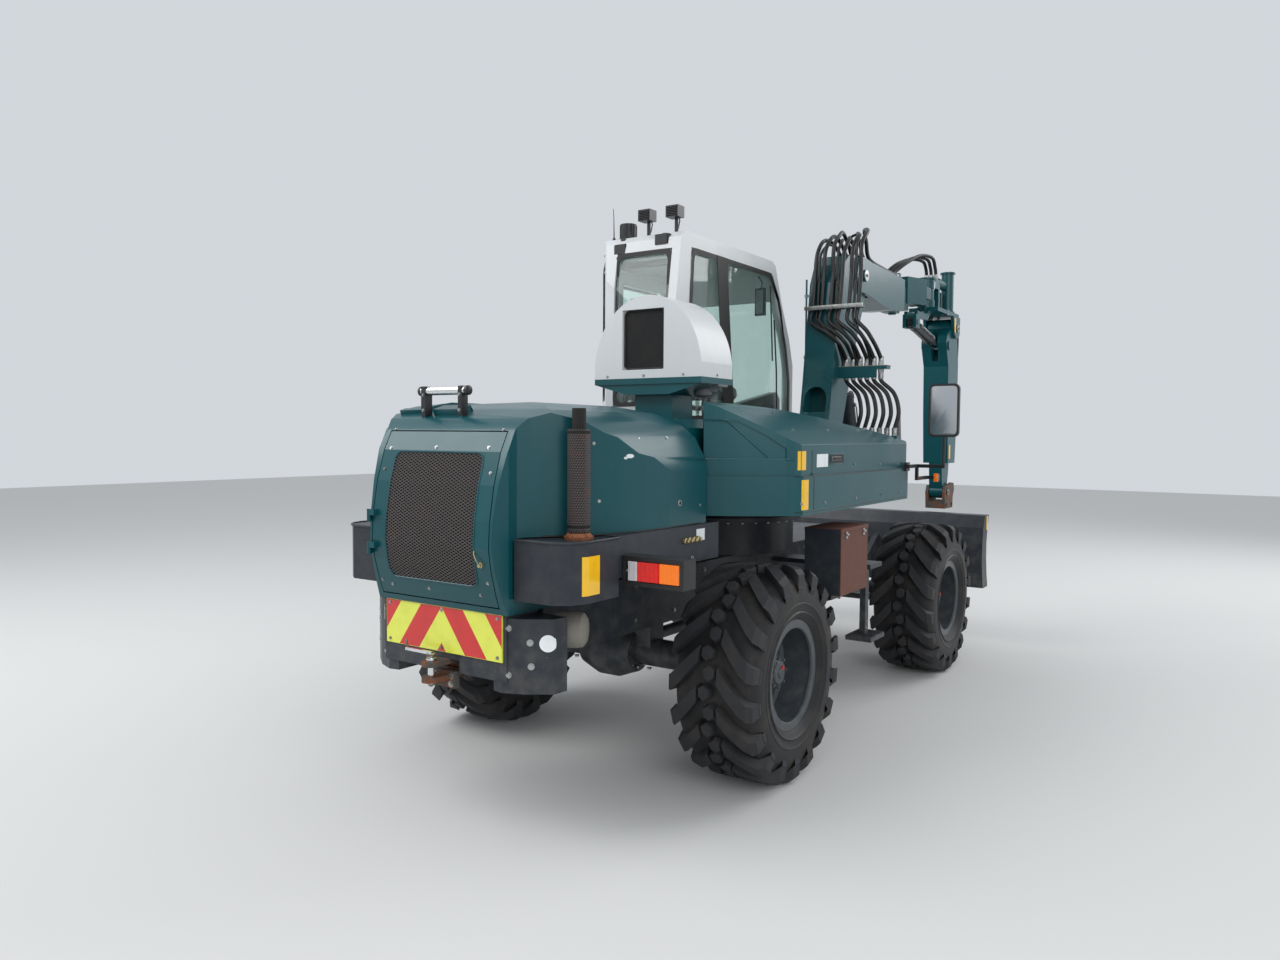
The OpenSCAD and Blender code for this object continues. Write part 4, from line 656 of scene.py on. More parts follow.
# Round and oblong reflectors and bare label plates: thin pieces glued to the paint. The bumper has a round
# white one on each cheek, the boxes and covers yellow ones on their rounded corners.
def patch(shape, node, centre, wide, tall, thick, material=0, round_one=False, across=None, cells=(8, 6)):
    """A thin plate that follows a CAD node's face, centred on a place."""
    middle, out = touch(node, *centre)
    across = Vector(across) if across else Vector((0, 0, 1)).cross(out).normalized()
    up = out.cross(across).normalized()
    count = cells[0]
    fronts, backs = [], []
    for i in range(count + 1):
        for rows, lift in ((fronts, thick), (backs, -0.001)):
            row = []
            for k in range(cells[1] + 1):
                u, v = 2 * i / count - 1, 2 * k / cells[1] - 1
                if round_one:
                    # a square of points drawn in to a disc
                    u, v = u * math.sqrt(1 - v * v / 2), v * math.sqrt(1 - u * u / 2)
                guess = middle + across * (u * wide / 2) + up * (v * tall / 2)
                _, place, normal, _ = nodes[node].closest_point_on_mesh(guess)
                row.append(place + normal * lift)
            rows.append(row)
    shape.bridge([front + back[::-1] for front, back in zip(fronts, backs)], material)


reflector_yellow = film("reflector_yellow", (0.86, 0.50, 0.012), 0.3)
reflector_white = film("reflector_white", (0.80, 0.83, 0.84), 0.3)
label_white = film("blank_label", (0.72, 0.75, 0.76), 0.0)
shape = Shape()
for hand in (-1, 1):
    patch(shape, "bumper", (-1.328, hand * 0.560, 0.924), 0.078, 0.078, 0.006, 1, True, cells=(10, 10))
    patch(shape, "rear_boxes", (-1.275, hand * 0.76, 1.243), 0.118, 0.175, 0.003, 0, cells=(16, 2))
    patch(shape, "frame", (-0.315, hand * 0.76, 1.345), 0.085, 0.062, 0.0015, 2, cells=(1, 1))
patch(shape, "bumper", (-1.44, 0.420, 0.975), 0.060, 0.078, 0.004, 1, True, cells=(8, 8))
shape.done("chassis_reflectors", [reflector_yellow, reflector_white, label_white], "chassis", angle=30)


# Tow hitch: a rusty jaw bolted under the bumper. Its pin is plated steel with a collar, and a bent lever
# lifts it; a short spring presses it down.
galvanised = bare_metal("galvanised_steel", (0.42, 0.41, 0.37), (0.20, 0.10, 0.05), 0.42, 0.5)
dress(galvanised, "hitch_pin")
HITCH_X = -1.515
SPRING_R = 0.020
SPRING_PITCH = 0.0063
SPRING_FOOT = 0.814
shape = Shape()
spring = [at(HITCH_X + SPRING_R * math.cos(a), SPRING_R * math.sin(a),
             SPRING_FOOT + SPRING_PITCH * a / (2 * math.pi))
          for a in (2 * math.pi * k / 12 for k in range(41))]
shape.tube(spring, 0.0022, 0, 6)
shape.tube([at(HITCH_X, 0.150, 0.836), at(HITCH_X, 0.165, 0.850), at(HITCH_X, 0.168, 0.880)], 0.006, 0, 10)
shape.stack(at(HITCH_X, 0, 0.686), (0, 0, -1), [(0, 0.0155), (0.006, 0.012), (0.010, 0.006)], 0, 20)
shape.done("pin_spring", [galvanised], "hitch_pin")
hitch_bolts = [(at(-1.440, y, z), (-1, 0, 0), 0.011) for y in (-0.055, 0.055) for z in (0.680, 0.718)]
hitch_bolts += [(at(-1.36, hand * 0.085, 0.75), (-1, 0, 0), 0.012) for hand in (-1, 1)]
piece("hitch_bolts", bolt_mesh(hitch_bolts, galvanised), "chassis")


# Tail lamps: black moulded housings on brackets, each with a clear, a red and an orange lens side by
# side. The lenses are ribbed plastic, screwed on at their ends, with the orange one outermost.
def moulded(name, colour, roughness=0.5, grit=0.35):
    """Moulded plastic with a fine grain."""
    t = Tree(name)
    cloud = t.noise(7.0, 3.0)
    tone = t.mix(cloud.ramp(0.45, 0.8) * 0.35, colour, tuple(min(1.0, c * 1.8 + 0.01) for c in colour))
    grain = t.bump(t.noise(520.0, 2.0), grit, 0.0004)
    return t.finish(tone, cloud.between(roughness - 0.07, roughness + 0.10), grain)


black_plastic = moulded("black_plastic", (0.012, 0.012, 0.013))
lens_clear = film("clear_lens", (0.58, 0.56, 0.57), 0.6)
lens_red = film("red_lens", (0.70, 0.012, 0.008), 0.6, 0.10)
lens_orange = film("orange_lens", (0.92, 0.20, 0.01), 0.6, 0.12)
dress(black_plastic, "rear_lamps")
LAMP_FACE = -1.0345
LAMP_BACK = -1.014
LAMP_Z = (1.196, 1.286)
RIB = 0.0035
# inner and outer edge of each lens, and its material
LENSES = ((0.790, 0.842, 0), (0.844, 0.962, 1), (0.964, 1.072, 2))
LENS_SCREW = ((0, 0.0055), (0.004, 0.0055), (0.005, 0.003))
BULB_SOCKET = ((0, 0.022), (0.012, 0.020), (0.016, 0.010))
shape = Shape()
for hand in (-1, 1):
    for inner, outer, colour in LENSES:
        steps = int((outer - inner) / RIB)
        outline = []
        for k in range(steps + 1):
            # every second point lies back for a rib, and both ends for the rim
            set_back = (0.0012 if k % 2 else 0.0) + (0.005 if k in (0, steps) else 0)
            outline.append((at(LAMP_FACE + set_back, 0, 0).x, hand * (inner + (outer - inner) * k / steps)))
        back = at(LAMP_BACK, 0, 0).x
        shape.prism(outline + [(back, hand * outer), (back, hand * inner)], "Z", *LAMP_Z, colour)
    for y in (0.786, 1.076):
        shape.stack(at(LAMP_FACE + 0.004, hand * y, sum(LAMP_Z) / 2), (-1, 0, 0), LENS_SCREW, 3, 12)
    # bulb sockets and cable behind the housing
    for y in (0.85, 0.93, 1.02):
        shape.stack(at(-0.931, hand * y, 1.24), (1, 0, 0), BULB_SOCKET, 4, 16)
    shape.tube([at(-0.918, hand * 0.93, 1.235), at(-0.89, hand * 0.90, 1.225), at(-0.875, hand * 0.82, 1.232),
                at(-0.88, hand * 0.765, 1.24)], 0.006, 4, 8)
shape.done("tail_lenses", [lens_clear, lens_red, lens_orange, zinc, black_plastic], "chassis", angle=25)


# Exhaust: a steel pipe on a welded flange, with a perforated guard round it. Both are brown with rust; the
# flange is the worst. The guard is one recipe: a sheet of six-sided cells wrapped round the pipe, each cell
# with its hole, given the sheet's thickness at the end.
exhaust_guard = rusty("exhaust_guard", (0.095, 0.080, 0.078), 0.35, (0.12, 0.060, 0.045), (0.20, 0.10, 0.07))
exhaust_pipe = rusty("exhaust_pipe", (0.010, 0.009, 0.009), 0.10, (0.03, 0.014, 0.010), (0.06, 0.03, 0.02))
exhaust_flange = rusty("exhaust_flange", (0.12, 0.05, 0.03), 0.85, (0.16, 0.05, 0.02), (0.34, 0.13, 0.06))
STACK = (-1.222, -0.650)
GUARD_R = 0.0515
GUARD_LOW, GUARD_HIGH = 1.425, 1.899
GUARD_THICK = 0.0014
COLUMNS, ROWS, HOLE = 26, 42, 0.72

guard_recipe = Recipe("perforated_guard", Radius="Float", Height="Float", Hole="Float")
given = guard_recipe.given
wall = guard_recipe.add("GeometryNodeMeshCylinder", {
    "Vertices": COLUMNS, "Side Segments": ROWS, "Radius": given["Radius"], "Depth": given["Height"]},
    fill_type="NONE")
halves = guard_recipe.add("GeometryNodeTriangulate", {0: wall})
cells = guard_recipe.add("GeometryNodeDualMesh", {0: halves})
rims = guard_recipe.tree.nodes.new("GeometryNodeExtrudeMesh")
rims.inputs["Individual"].default_value = True
rims.inputs["Offset Scale"].default_value = 0.0
guard_recipe.tree.links.new(cells, rims.inputs["Mesh"])
tops = rims.outputs["Top"]
drawn = guard_recipe.add("GeometryNodeScaleElements", {"Geometry": rims.outputs["Mesh"], "Selection": tops,
                                                      "Scale": given["Hole"]})
open_cells = guard_recipe.add("GeometryNodeDeleteGeometry", {"Geometry": drawn, "Selection": tops},
                              domain="FACE")
joined = guard_recipe.add("GeometryNodeMergeByDistance", {"Geometry": open_cells, "Distance": 0.00002})
guard_recipe.end(joined)
guard_tall = GUARD_HIGH - GUARD_LOW
shape = Shape()
shape.take(guard_recipe.grow(bpy.data.meshes.new("guard_start"), Radius=GUARD_R, Height=guard_tall, Hole=HOLE,
                             Material=exhaust_guard))
for corner in shape.bm.verts:
    # each row is turned half a cell more than the one below, so the holes are staggered and even
    row = corner.co.z / (guard_tall / ROWS)
    corner.co = Matrix.Rotation(row * math.pi / COLUMNS, 3, "Z") @ corner.co
bmesh.ops.recalc_face_normals(shape.bm, faces=shape.bm.faces)
bmesh.ops.solidify(shape.bm, geom=shape.bm.faces[:], thickness=GUARD_THICK)
shape.bm.transform(Matrix.Translation(at(*STACK, (GUARD_LOW + GUARD_HIGH) / 2)))
shape.done("exhaust_guard", [exhaust_guard], "chassis", ["exhaust_stack"], 50)
# radius and height of the pipe with its open end, and of its flange
PIPE = ((0.0320, 1.393), (0.0320, 1.985), (0.0312, 1.990), (0.0285, 1.990), (0.0280, 1.985), (0.0280, 1.80),
        (0.001, 1.80), (0.001, 1.393))
FLANGE = ((0.033, 1.395), (0.066, 1.395), (0.068, 1.399), (0.068, 1.409), (0.060, 1.413), (0.054, 1.424),
          (0.033, 1.424))
shape = Shape()
shape.lathe(PIPE, at(*STACK, 0), 40, "Z", 0)
shape.lathe(FLANGE, at(*STACK, 0), 40, "Z", 1)
for z in (1.455, 1.880):
    # a band round the guard, and three lugs that hold it off the pipe
    band = [(0.0508, z - 0.007), (0.0530, z - 0.007), (0.0530, z + 0.007), (0.0508, z + 0.007)]
    shape.lathe(band, at(*STACK, 0), 48, "Z", 0)
    for point in around(at(*STACK, z), (0, 0, 1), 0.041, 3, 0.4):
        shape.box(point - Vector((0.011, 0.002, 0.006)), point + Vector((0.011, 0.002, 0.006)), 0)
flange_circle = around(at(*STACK, 1.411), (0, 0, 1), 0.0585, 4, 0.5)
shape.take(bolt_mesh([(p, (0, 0, 1), 0.007) for p in flange_circle]), 1)
shape.done("exhaust_pipe", [exhaust_pipe, exhaust_flange], "chassis")
# a rolled lip round the top of each rear box: x and y of its line
BOX_LIP = ((-1.430, 0.450), (-1.430, 0.660), (-1.405, 0.702), (-1.380, 0.730), (-1.345, 0.750),
           (-1.300, 0.764), (-1.180, 0.764), (-1.065, 0.764))
shape = Shape()
for hand in (-1, 1):
    shape.tube([at(x, hand * y, 1.3945) for x, y in BOX_LIP], 0.0065, 0, 10)
shape.done("box_lip", [anthracite], "chassis")
# the silencer's grey end shows below the right-hand box
SILENCER = ((0, 0.085), (0.10, 0.086), (0.13, 0.080), (0.145, 0.060), (0.150, 0.0))
silencer_grey = rusty("grey_scale", (0.20, 0.19, 0.165), 0.2, (0.14, 0.11, 0.08), (0.30, 0.26, 0.2))
shape = Shape()
shape.stack(at(-1.17, -0.48, 0.952), (0.10, -0.22, 0), SILENCER, 0, 28)
shape.done("silencer_end", [silencer_grey], "chassis")


# Hood: a moulded shell in the machine's blue-green gloss, with a handle on its roof and a rear door that
# swings on two hinges. Machine screws hold the door's frame; the paint is waxed and mirrors the sky.
green = paint("green_paint", (0.0018, 0.062, 0.074), (0.004, 0.088, 0.100), 0.30, 0.16, 0.08, 0.25)
dress(green, *[name for name, slot in SLOTS.items() if slot == "green"])


def moulded_shell(node, body, angle=27):
    """A CAD node's own shape as a new piece, shaded round between the sections it was lofted through."""
    bm = bmesh.new()
    bm.from_mesh(nodes[node].data)
    bmesh.ops.remove_doubles(bm, verts=bm.verts, dist=1e-5)
    bmesh.ops.dissolve_limit(bm, angle_limit=math.radians(0.2), verts=bm.verts, edges=bm.edges)
    mesh = bpy.data.meshes.new(node + "_shell")
    bm.to_mesh(mesh)
    bm.free()
    mesh.materials.append(nodes[node].data.materials[0])
    mesh.shade_smooth()
    mesh.set_sharp_from_angle(angle=math.radians(angle))
    thing = bpy.data.objects.new("shell", mesh)
    bpy.context.scene.collection.objects.link(thing)
    even = thing.modifiers.new("even", "WEIGHTED_NORMAL")
    even.keep_sharp = True
    even.weight = 50
    made = bpy.data.meshes.new_from_object(thing.evaluated_get(bpy.context.evaluated_depsgraph_get()))
    bpy.data.objects.remove(thing)
    return piece(node + "_shell", made, body, [node])


rod_recipe = Recipe("rods", Radius="Float", Sides="Int")
line = rod_recipe.add("GeometryNodeMeshToCurve", {"Mesh": rod_recipe.given["Start"]})
section = rod_recipe.add("GeometryNodeCurvePrimitiveCircle", {"Resolution": rod_recipe.given["Sides"],
                                                              "Radius": rod_recipe.given["Radius"]})
round_bar = rod_recipe.add("GeometryNodeCurveToMesh",
                           {"Curve": line, "Profile Curve": section, "Fill Caps": True})
rod_recipe.end(round_bar)


def rods(paths, radius, sides, material):
    """Round bars along paths: hoses, wires, rails and seals."""
    mesh = bpy.data.meshes.new("paths")
    points, edges = [], []
    for path in paths:
        edges += [(len(points) + i, len(points) + i + 1) for i in range(len(path) - 1)]
        points += [tuple(p) for p in path]
    mesh.from_pydata(points, edges, [])
    return rod_recipe.grow(mesh, Radius=radius, Sides=sides, Material=material)


def seam(node, places, stand=0.0):
    """Fine points on a CAD node's face along a broken line of places."""
    path = []
    for a, b in zip(places, places[1:]):
        count = max(2, int((Vector(b) - Vector(a)).length / 0.02))
        path += [touch(node, *Vector(a).lerp(Vector(b), i / count), stand)[0] for i in range(count)]
    return path + [touch(node, *places[-1], stand)[0]]


seal_rubber = rubber("edge_rubber", (0.008, 0.008, 0.008), 0.1, 0.5, 0.0003)
aluminium = bare_metal("aluminium_tube", (0.75, 0.76, 0.77), DUST, 0.28, 0.12)
shape = Shape()
for y0, y1 in ((-0.022, 0.008), (0.228, 0.258)):
    shape.box(at(-1.333, y0, 1.955), at(-1.287, y1, 2.103), 1, 0.006)
shape.tube([at(-1.310, -0.030, 2.080), at(-1.310, 0.266, 2.080)], 0.0212, 0, 28)
for y in (-0.052, 0.266):
    shape.stack(at(-1.310, y, 2.080), (0, 1, 0), [(0, 0.018), (0.003, 0.0235), (0.017, 0.0235)], 1, 28)
handle_bolts = [at(-1.334, y, z) for y in (-0.007, 0.243) for z in (1.985, 2.06)]
shape.take(bolt_mesh([(p, (-1, 0, 0), 0.006) for p in handle_bolts]), 2)
shape.done("hood_handle", [aluminium, black_paint, zinc], "chassis")
shape = Shape()
patch(shape, "hood", (-0.78, 0.40, 2.0), 0.98, 0.17, 0.020, across=(1, 0, 0), cells=(24, 6))
patch(shape, "hood", (-1.235, 0.118, 1.98), 0.12, 0.185, 0.030, across=(1, 0, 0), cells=(6, 6))
shape.done("hood_ribs", [green], "chassis", angle=40)
shape = Shape()
lines = [seam("hood", [(-1.30, hand * 0.50, 1.402), (-1.05, hand * 0.67, 1.402), (-0.85, hand * 0.725, 1.402),
                       (-0.60, hand * 0.745, 1.402), (-0.30, hand * 0.750, 1.402)]) for hand in (-1, 1)]
shape.take(rods(lines, 0.005, 8, seal_rubber), 0)
for hand in (-1, 1):
    spot, out = touch("hood", -0.501, hand * 0.746, 1.522)
    shape.stack(spot, out, [(0, 0.017), (0.002, 0.016), (0.002, 0.009)], 1, 20)
    shape.stack(spot, out, [(0.0, 0.010), (0.0026, 0.009)], 0, 16)
# a scuff through the paint on the right side, and two stone marks
patch(shape, "hood", (-0.903, -0.71, 1.769), 0.052, 0.020, 0.0006, 2, True, cells=(8, 6))
patch(shape, "hood", (-0.930, -0.71, 1.760), 0.024, 0.012, 0.0006, 2, True, cells=(6, 4))
patch(shape, "hood", (-0.80, -0.71, 1.862), 0.010, 0.008, 0.0006, 2, True, cells=(4, 4))
shape.done("hood_trim", [seal_rubber, zinc, label_white], "chassis")
HOOD_SCREWS = ((-1.42, 0.36, 1.905), (-1.08, 0.665, 1.56), (-1.10, 0.645, 1.83), (-0.55, 0.70, 1.86),
               (-0.30, 0.75, 1.50))
hood_screws = [(*touch("hood", x, hand * y, z), 0.0055) for hand in (-1, 1) for x, y, z in HOOD_SCREWS]
piece("hood_screws", bolt_mesh(hood_screws), "chassis")
DOOR_SCREWS = ((0.341, 1.822), (0.031, 1.832), (-0.307, 1.836), (0.353, 1.481), (-0.340, 1.485),
               (0.363, 1.146), (0.298, 1.126), (0.042, 1.130), (-0.294, 1.132), (-0.355, 1.20),
               (-0.352, 1.70), (0.352, 1.70))
door_screws = [(*touch("rear_door", -1.5, y, z), 0.0060) for y, z in DOOR_SCREWS]
piece("door_screws", bolt_mesh(door_screws), "hood_door")


# Rear grille: expanded steel mesh behind a round-cornered opening, with the cooler behind it, whose sheet is
# painted near-black for its own dark dirt and painted shade of the recess. The mesh is two sets of crossing
# strands; a rolled edge runs round the opening, and a wire holds the latch.
GRILLE_LOW, GRILLE_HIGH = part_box("rear_grille")
DIAMOND = (0.030, 0.0150)
STRAND = 0.0021
CORNER = 0.045
# the sheet behind the mesh is near-black: the cooler's dark dirty fins and painted shade of the recess
dress(rubber("cooler_dirt_and_shade", (0.004, 0.003, 0.003), 0.05, 0.85, 0.0006), "rear_grille")
grille_steel = rusty("grille_steel", (0.105, 0.092, 0.090), 0.20, (0.12, 0.08, 0.06), (0.20, 0.15, 0.12))
# x of the grille's face at even heights, as the face curves
rows = 40
column = []
for i in range(rows + 1):
    z = GRILLE_LOW.z + 0.002 + (GRILLE_HIGH.z - GRILLE_LOW.z - 0.004) * i / rows
    _, place, _, _ = nodes["rear_grille"].ray_cast(Vector((-9.0, 0.0, z)), Vector((1, 0, 0)))
    column.append(place.x)


def grille_face(y, z, away):
    """A point of the grille's face, moved out by away. The face curves in z only."""
    step = min(max((z - GRILLE_LOW.z) / (GRILLE_HIGH.z - GRILLE_LOW.z) * rows, 0.0), rows - 0.001)
    i = int(step)
    return Vector((column[i] + (column[i + 1] - column[i]) * (step - i) - away, y, z))


def inside(y, z, low, high, corner):
    """Whether a point lies within a round-cornered rectangle."""
    dy = max(low[0] + corner - y, y - high[0] + corner, 0.0)
    dz = max(low[1] + corner - z, z - high[1] + corner, 0.0)
    return low[0] <= y <= high[0] and low[1] <= z <= high[1] and dy * dy + dz * dz <= corner * corner + 1e-9


def strands(low, high, corner, face, parts=48):
    """Paths of both sets of strands over a round-cornered rectangle."""
    paths = []
    slope = DIAMOND[1] / DIAMOND[0]
    reach = (high[1] - low[1]) / slope
    for hand in (-1, 1):
        for k in range(int((high[0] - low[0] + reach) / DIAMOND[0]) + 1):
            path = []
            for step in range(parts * 4 + 1):
                t = (high[1] - low[1]) * step / (parts * 4)
                along = low[0] - reach + k * DIAMOND[0] + t / slope
                y = along if hand > 0 else low[0] + high[0] - along
                if inside(y, low[1] + t, low, high, corner):
                    path.append(face(y, low[1] + t))
            if len(path) > 2:
                paths.append([path[0], *path[4:-4:4], path[-1]])
    return paths


def rounded(low, high, corner, steps=8):
    """A round-cornered rectangle's outline."""
    outline = []
    for cy, cz, start in ((high[0] - corner, high[1] - corner, 0), (low[0] + corner, high[1] - corner, 1),
                          (low[0] + corner, low[1] + corner, 2), (high[0] - corner, low[1] + corner, 3)):
        outline += [(cy + corner * math.cos((start + i / steps) * math.pi / 2),
                     cz + corner * math.sin((start + i / steps) * math.pi / 2)) for i in range(steps + 1)]
    return outline


low, high = (GRILLE_LOW.y, GRILLE_LOW.z), (GRILLE_HIGH.y, GRILLE_HIGH.z)
mesh_lines = strands(low, high, CORNER, lambda y, z: grille_face(y, z, 0.0015))
piece("grille_mesh", rods(mesh_lines, STRAND, 4, grille_steel), "hood_door")
shape = Shape()
outline = rounded(low, high, CORNER)
# longer sides are cut up so that the edge follows the curved door
path = []
for (y0, z0), (y1, z1) in zip(outline, outline[1:] + outline[:1]):
    count = max(1, int(abs(z1 - z0) / 0.03))
    for i in range(count):
        path.append(grille_face(y0 + (y1 - y0) * i / count, z0 + (z1 - z0) * i / count, 0.0040))
shape.take(rods([path + path[:1]], 0.0045, 8, green))
# a web fills what the round leaves open in each corner
for cy, cz, hand_y, hand_z in ((low[0], low[1], 1, 1), (low[0], high[1], 1, -1), (high[0], low[1], -1, 1),
                               (high[0], high[1], -1, -1)):
    arc = [(cy + hand_y * CORNER * (1 - math.sin(a)), cz + hand_z * CORNER * (1 - math.cos(a)))
           for a in (math.pi / 2 * i / 8 for i in range(9))]
    shape.bridge([[grille_face(*a, 0.004), grille_face(*a, 0.0005), grille_face(cy, cz, 0.0005),
                   grille_face(cy, cz, 0.004)] for a in arc])
shape.done("grille_edge", [green], "hood_door", angle=40)
brass = bare_metal("brass", (0.55, 0.45, 0.25), MUD, 0.38, 0.4)
shape = Shape()
spot, out = touch("rear_door", -1.52, -0.335, 1.285)
shape.stack(spot, out, [(0, 0.013), (0.010, 0.013), (0.012, 0.009), (0.020, 0.009), (0.021, 0.004)], 0, 18)
shape.tube([spot + out * 0.016, spot + Vector((-0.018, 0.018, 0.020)), spot + Vector((-0.016, 0.034, 0.048)),
            spot + Vector((-0.004, 0.040, 0.066))], 0.0028, 0, 8)
shape.done("door_latch", [brass], "hood_door")
LATCH_KNOB = ((0, 0.016), (0.014, 0.016), (0.018, 0.010), (0.028, 0.010))
shape = Shape()
for hand in (-1, 1):
    y0, y1 = sorted((hand * 0.760, hand * 0.772))
    shape.box(at(-0.500, y0, 1.318), at(-0.330, y1, 1.324), 0, 0.001)
    for x in (-0.480, -0.440, -0.395, -0.350):
        shape.stack(at(x, hand * 0.759, 1.326), (0, hand, 0), LATCH_KNOB, 0, 12)
shape.done("box_latch", [brass], "chassis")
moulded_shell("hood", "chassis")


# Turret cover, side boxes and steps. The cover is sheet steel round the swing motor and tanks, with pressed
# lines, seams, a sunk latch and bolts. The brown boxes are bare rusted plate with lids.
brown_plate = rusty("brown_plate", (0.125, 0.050, 0.035), 0.30, (0.12, 0.042, 0.026), (0.20, 0.09, 0.060))
dress(brown_plate, *[name for name, slot in SLOTS.items() if slot == "brown"])
shape = Shape()
patch(shape, "side_cover", (0.132, -1.13, 1.735), 0.088, 0.104, 0.0025, cells=(4, 4))
patch(shape, "side_cover", (0.145, -1.16, 1.548), 0.080, 0.165, 0.0025, cells=(4, 4))
patch(shape, "side_cover", (0.405, -1.15, 1.731), 0.158, 0.074, 0.0018, 1, cells=(4, 4))
shape.done("cover_films", [reflector_yellow, label_white], "turret")
shape = Shape()
spot, out = touch("side_cover", 0.612, -1.15, 1.738)
shape.box(spot + Vector((-0.115, -0.0025, -0.034)), spot + Vector((0.115, 0.002, 0.034)), 0, 0.002)
shape.box(spot + Vector((-0.103, -0.0045, -0.024)), spot + Vector((0.103, -0.0024, 0.024)), 1)
shape.box(spot + Vector((-0.085, -0.009, -0.010)), spot + Vector((0.060, -0.004, 0.012)), 2, 0.002)
seams = [seam("side_cover", [(1.86, -1.15, 1.452), (0.05, -1.15, 1.452)], -0.001),
         seam("side_cover", [(0.262, -1.15, 1.46), (0.262, -1.15, 1.79)], -0.001),
         seam("side_cover", [(1.86, -1.15, 1.648), (0.05, -1.15, 1.648)], -0.001)]
shape.take(rods(seams, 0.0028, 6, seal_rubber), 1)
pressed = [seam("side_cover", [(-0.19, -0.71, 1.743), (0.0, -0.99, 1.743), (0.09, -1.11, 1.743)], -0.001),
           seam("side_cover", [(-0.185, -0.705, 1.953), (-0.135, -0.813, 1.953), (0.004, -0.998, 1.75)],
                -0.001)]
shape.take(rods(pressed, 0.0065, 10, green), 0)
shape.done("cover_latch", [green, seal_rubber, zinc], "turret")
COVER_SIDE_BOLTS = ((0.10, 1.50), (0.42, 1.49), (0.90, 1.49), (1.35, 1.49), (1.72, 1.49), (0.90, 1.70),
                    (1.35, 1.69), (1.72, 1.68))
COVER_TOP_BOLTS = ((0.30, -1.05), (0.80, -1.05), (1.30, -1.05), (1.65, -1.05), (0.45, -0.80), (0.95, -0.72))
cover_bolts = [(*touch("side_cover", x, -1.16, z), 0.0065) for x, z in COVER_SIDE_BOLTS]
cover_bolts += [(*touch("side_cover", x, y, 2.0), 0.0065) for x, y in COVER_TOP_BOLTS]
cover_bolts += [(*touch("side_cover", 1.95, y, 1.70), 0.007) for y in (-1.08, -0.90, -0.72)]
piece("cover_bolts", bolt_mesh(cover_bolts), "turret")
shape = Shape()
for hand, low_y, high_y in ((-1, -1.100, -0.860), (1, 0.700, 1.100)):
    shape.box(at(0.7975, low_y - 0.003, 1.276), at(1.2525, high_y + 0.003, 1.303), 0, 0.003)
    face = low_y if hand < 0 else high_y
    for x in (0.88, 1.17):
        shape.box(at(x - 0.014, face - 0.006, 1.238), at(x + 0.014, face + 0.006, 1.282), 1, 0.001)
        shape.stack(at(x, face + hand * 0.010, 1.262), (1, 0, 0), [(-0.014, 0.006), (0.014, 0.006)], 1, 10)
box_feet = [at(x, y, 0.889) for y in (-1.04, -0.92, 0.80, 1.00) for x in (0.86, 1.19)]
shape.take(bolt_mesh([(p, (0, 0, -1), 0.010) for p in box_feet]), 1)
for y0, y1 in ((-1.096, -0.862), (0.702, 1.096)):
    # the ends were painted with the chassis
    for x0, x1 in ((0.7965, 0.7995), (1.2505, 1.2535)):
        shape.box(at(x0, y0, 0.893), at(x1, y1, 1.300), 2)
shape.done("box_lids", [brown_plate, zinc, anthracite], "chassis")
shape = Shape()
for hand in (-1, 1):
    # raised teeth of the step grating
    for i in range(9):
        x = 1.415 + 0.0285 * i
        shape.box(at(x, hand * 0.99 - 0.082, 0.5205), at(x + 0.006, hand * 0.99 + 0.082, 0.5265), 0)
shape.done("step_grip", [anthracite], "chassis")


# Air intake dome over the hood: a moulded white cover with a fine black mesh let into its side, clamped
# on a blue-green pan that carries a grey fan motor.
white = paint("white_paint", (0.60, 0.62, 0.63), (0.48, 0.50, 0.50), 0.34, 0.12, 0.15, 0.25)
dress(white, *[name for name, slot in SLOTS.items() if slot == "white"])
fine_black = rubber("mesh_black", (0.010, 0.010, 0.011), 0.15, 0.6, 0.0003)
dome_node = "fan_dome"
low, high = (-0.342, 2.256), (-0.064, 2.594)


def dome_face(y, z, away):
    """The bottom of the dome's recess, from behind."""
    found, place, _, _ = nodes[dome_node].ray_cast(at(-1.0, y, z), Vector((1, 0, 0)))
    return Vector(((place.x if found else REAR_AXLE - 0.025) - away, y, z))


shape = Shape()
shape.take(rods(strands(low, high, 0.03, lambda y, z: dome_face(y, z, 0.005), 16), 0.0011, 4, fine_black), 0)
outline = rounded(low, high, 0.03, 5)
shape.take(rods([[dome_face(y, z, 0.004) for y, z in outline + outline[:1]]], 0.006, 8, fine_black), 0)
# a black sheet over the recess's floor behind the mesh: painted shade of the intake's opening
back = [dome_face(y, z, 0.0006) for y, z in outline]
shape.bridge([back, [p - Vector((0.0015, 0, 0)) for p in back]], 0)
shape.done("dome_mesh", [fine_black], "turret")
grey_plastic = moulded("grey_plastic", (0.13, 0.135, 0.14), 0.6)
FAN_MOTOR = ((0, 0.050), (0.012, 0.052), (0.060, 0.052), (0.070, 0.040), (0.075, 0.0))
PAN_BOLTS = ((0.13, -0.62), (-0.08, -0.48), (-0.08, 0.05), (0.13, 0.17), (-0.07, -0.21))
shape = Shape()
shape.stack(at(0.19, -0.47, 2.166), (0, 0, -1), FAN_MOTOR, 0)
shape.box(at(0.15, -0.60, 2.150), at(0.26, -0.52, 2.166), 0, 0.003)
for y in (-0.56, 0.10):
    shape.box(at(0.285, y - 0.02, 2.186), at(0.314, y + 0.02, 2.232), 1, 0.003)
shape.take(bolt_mesh([(*touch(dome_node, x, y, 2.215), 0.006) for x, y in PAN_BOLTS]), 1)
shape.done("dome_motor", [grey_plastic, zinc], "turret")
moulded_shell(dome_node, "turret")


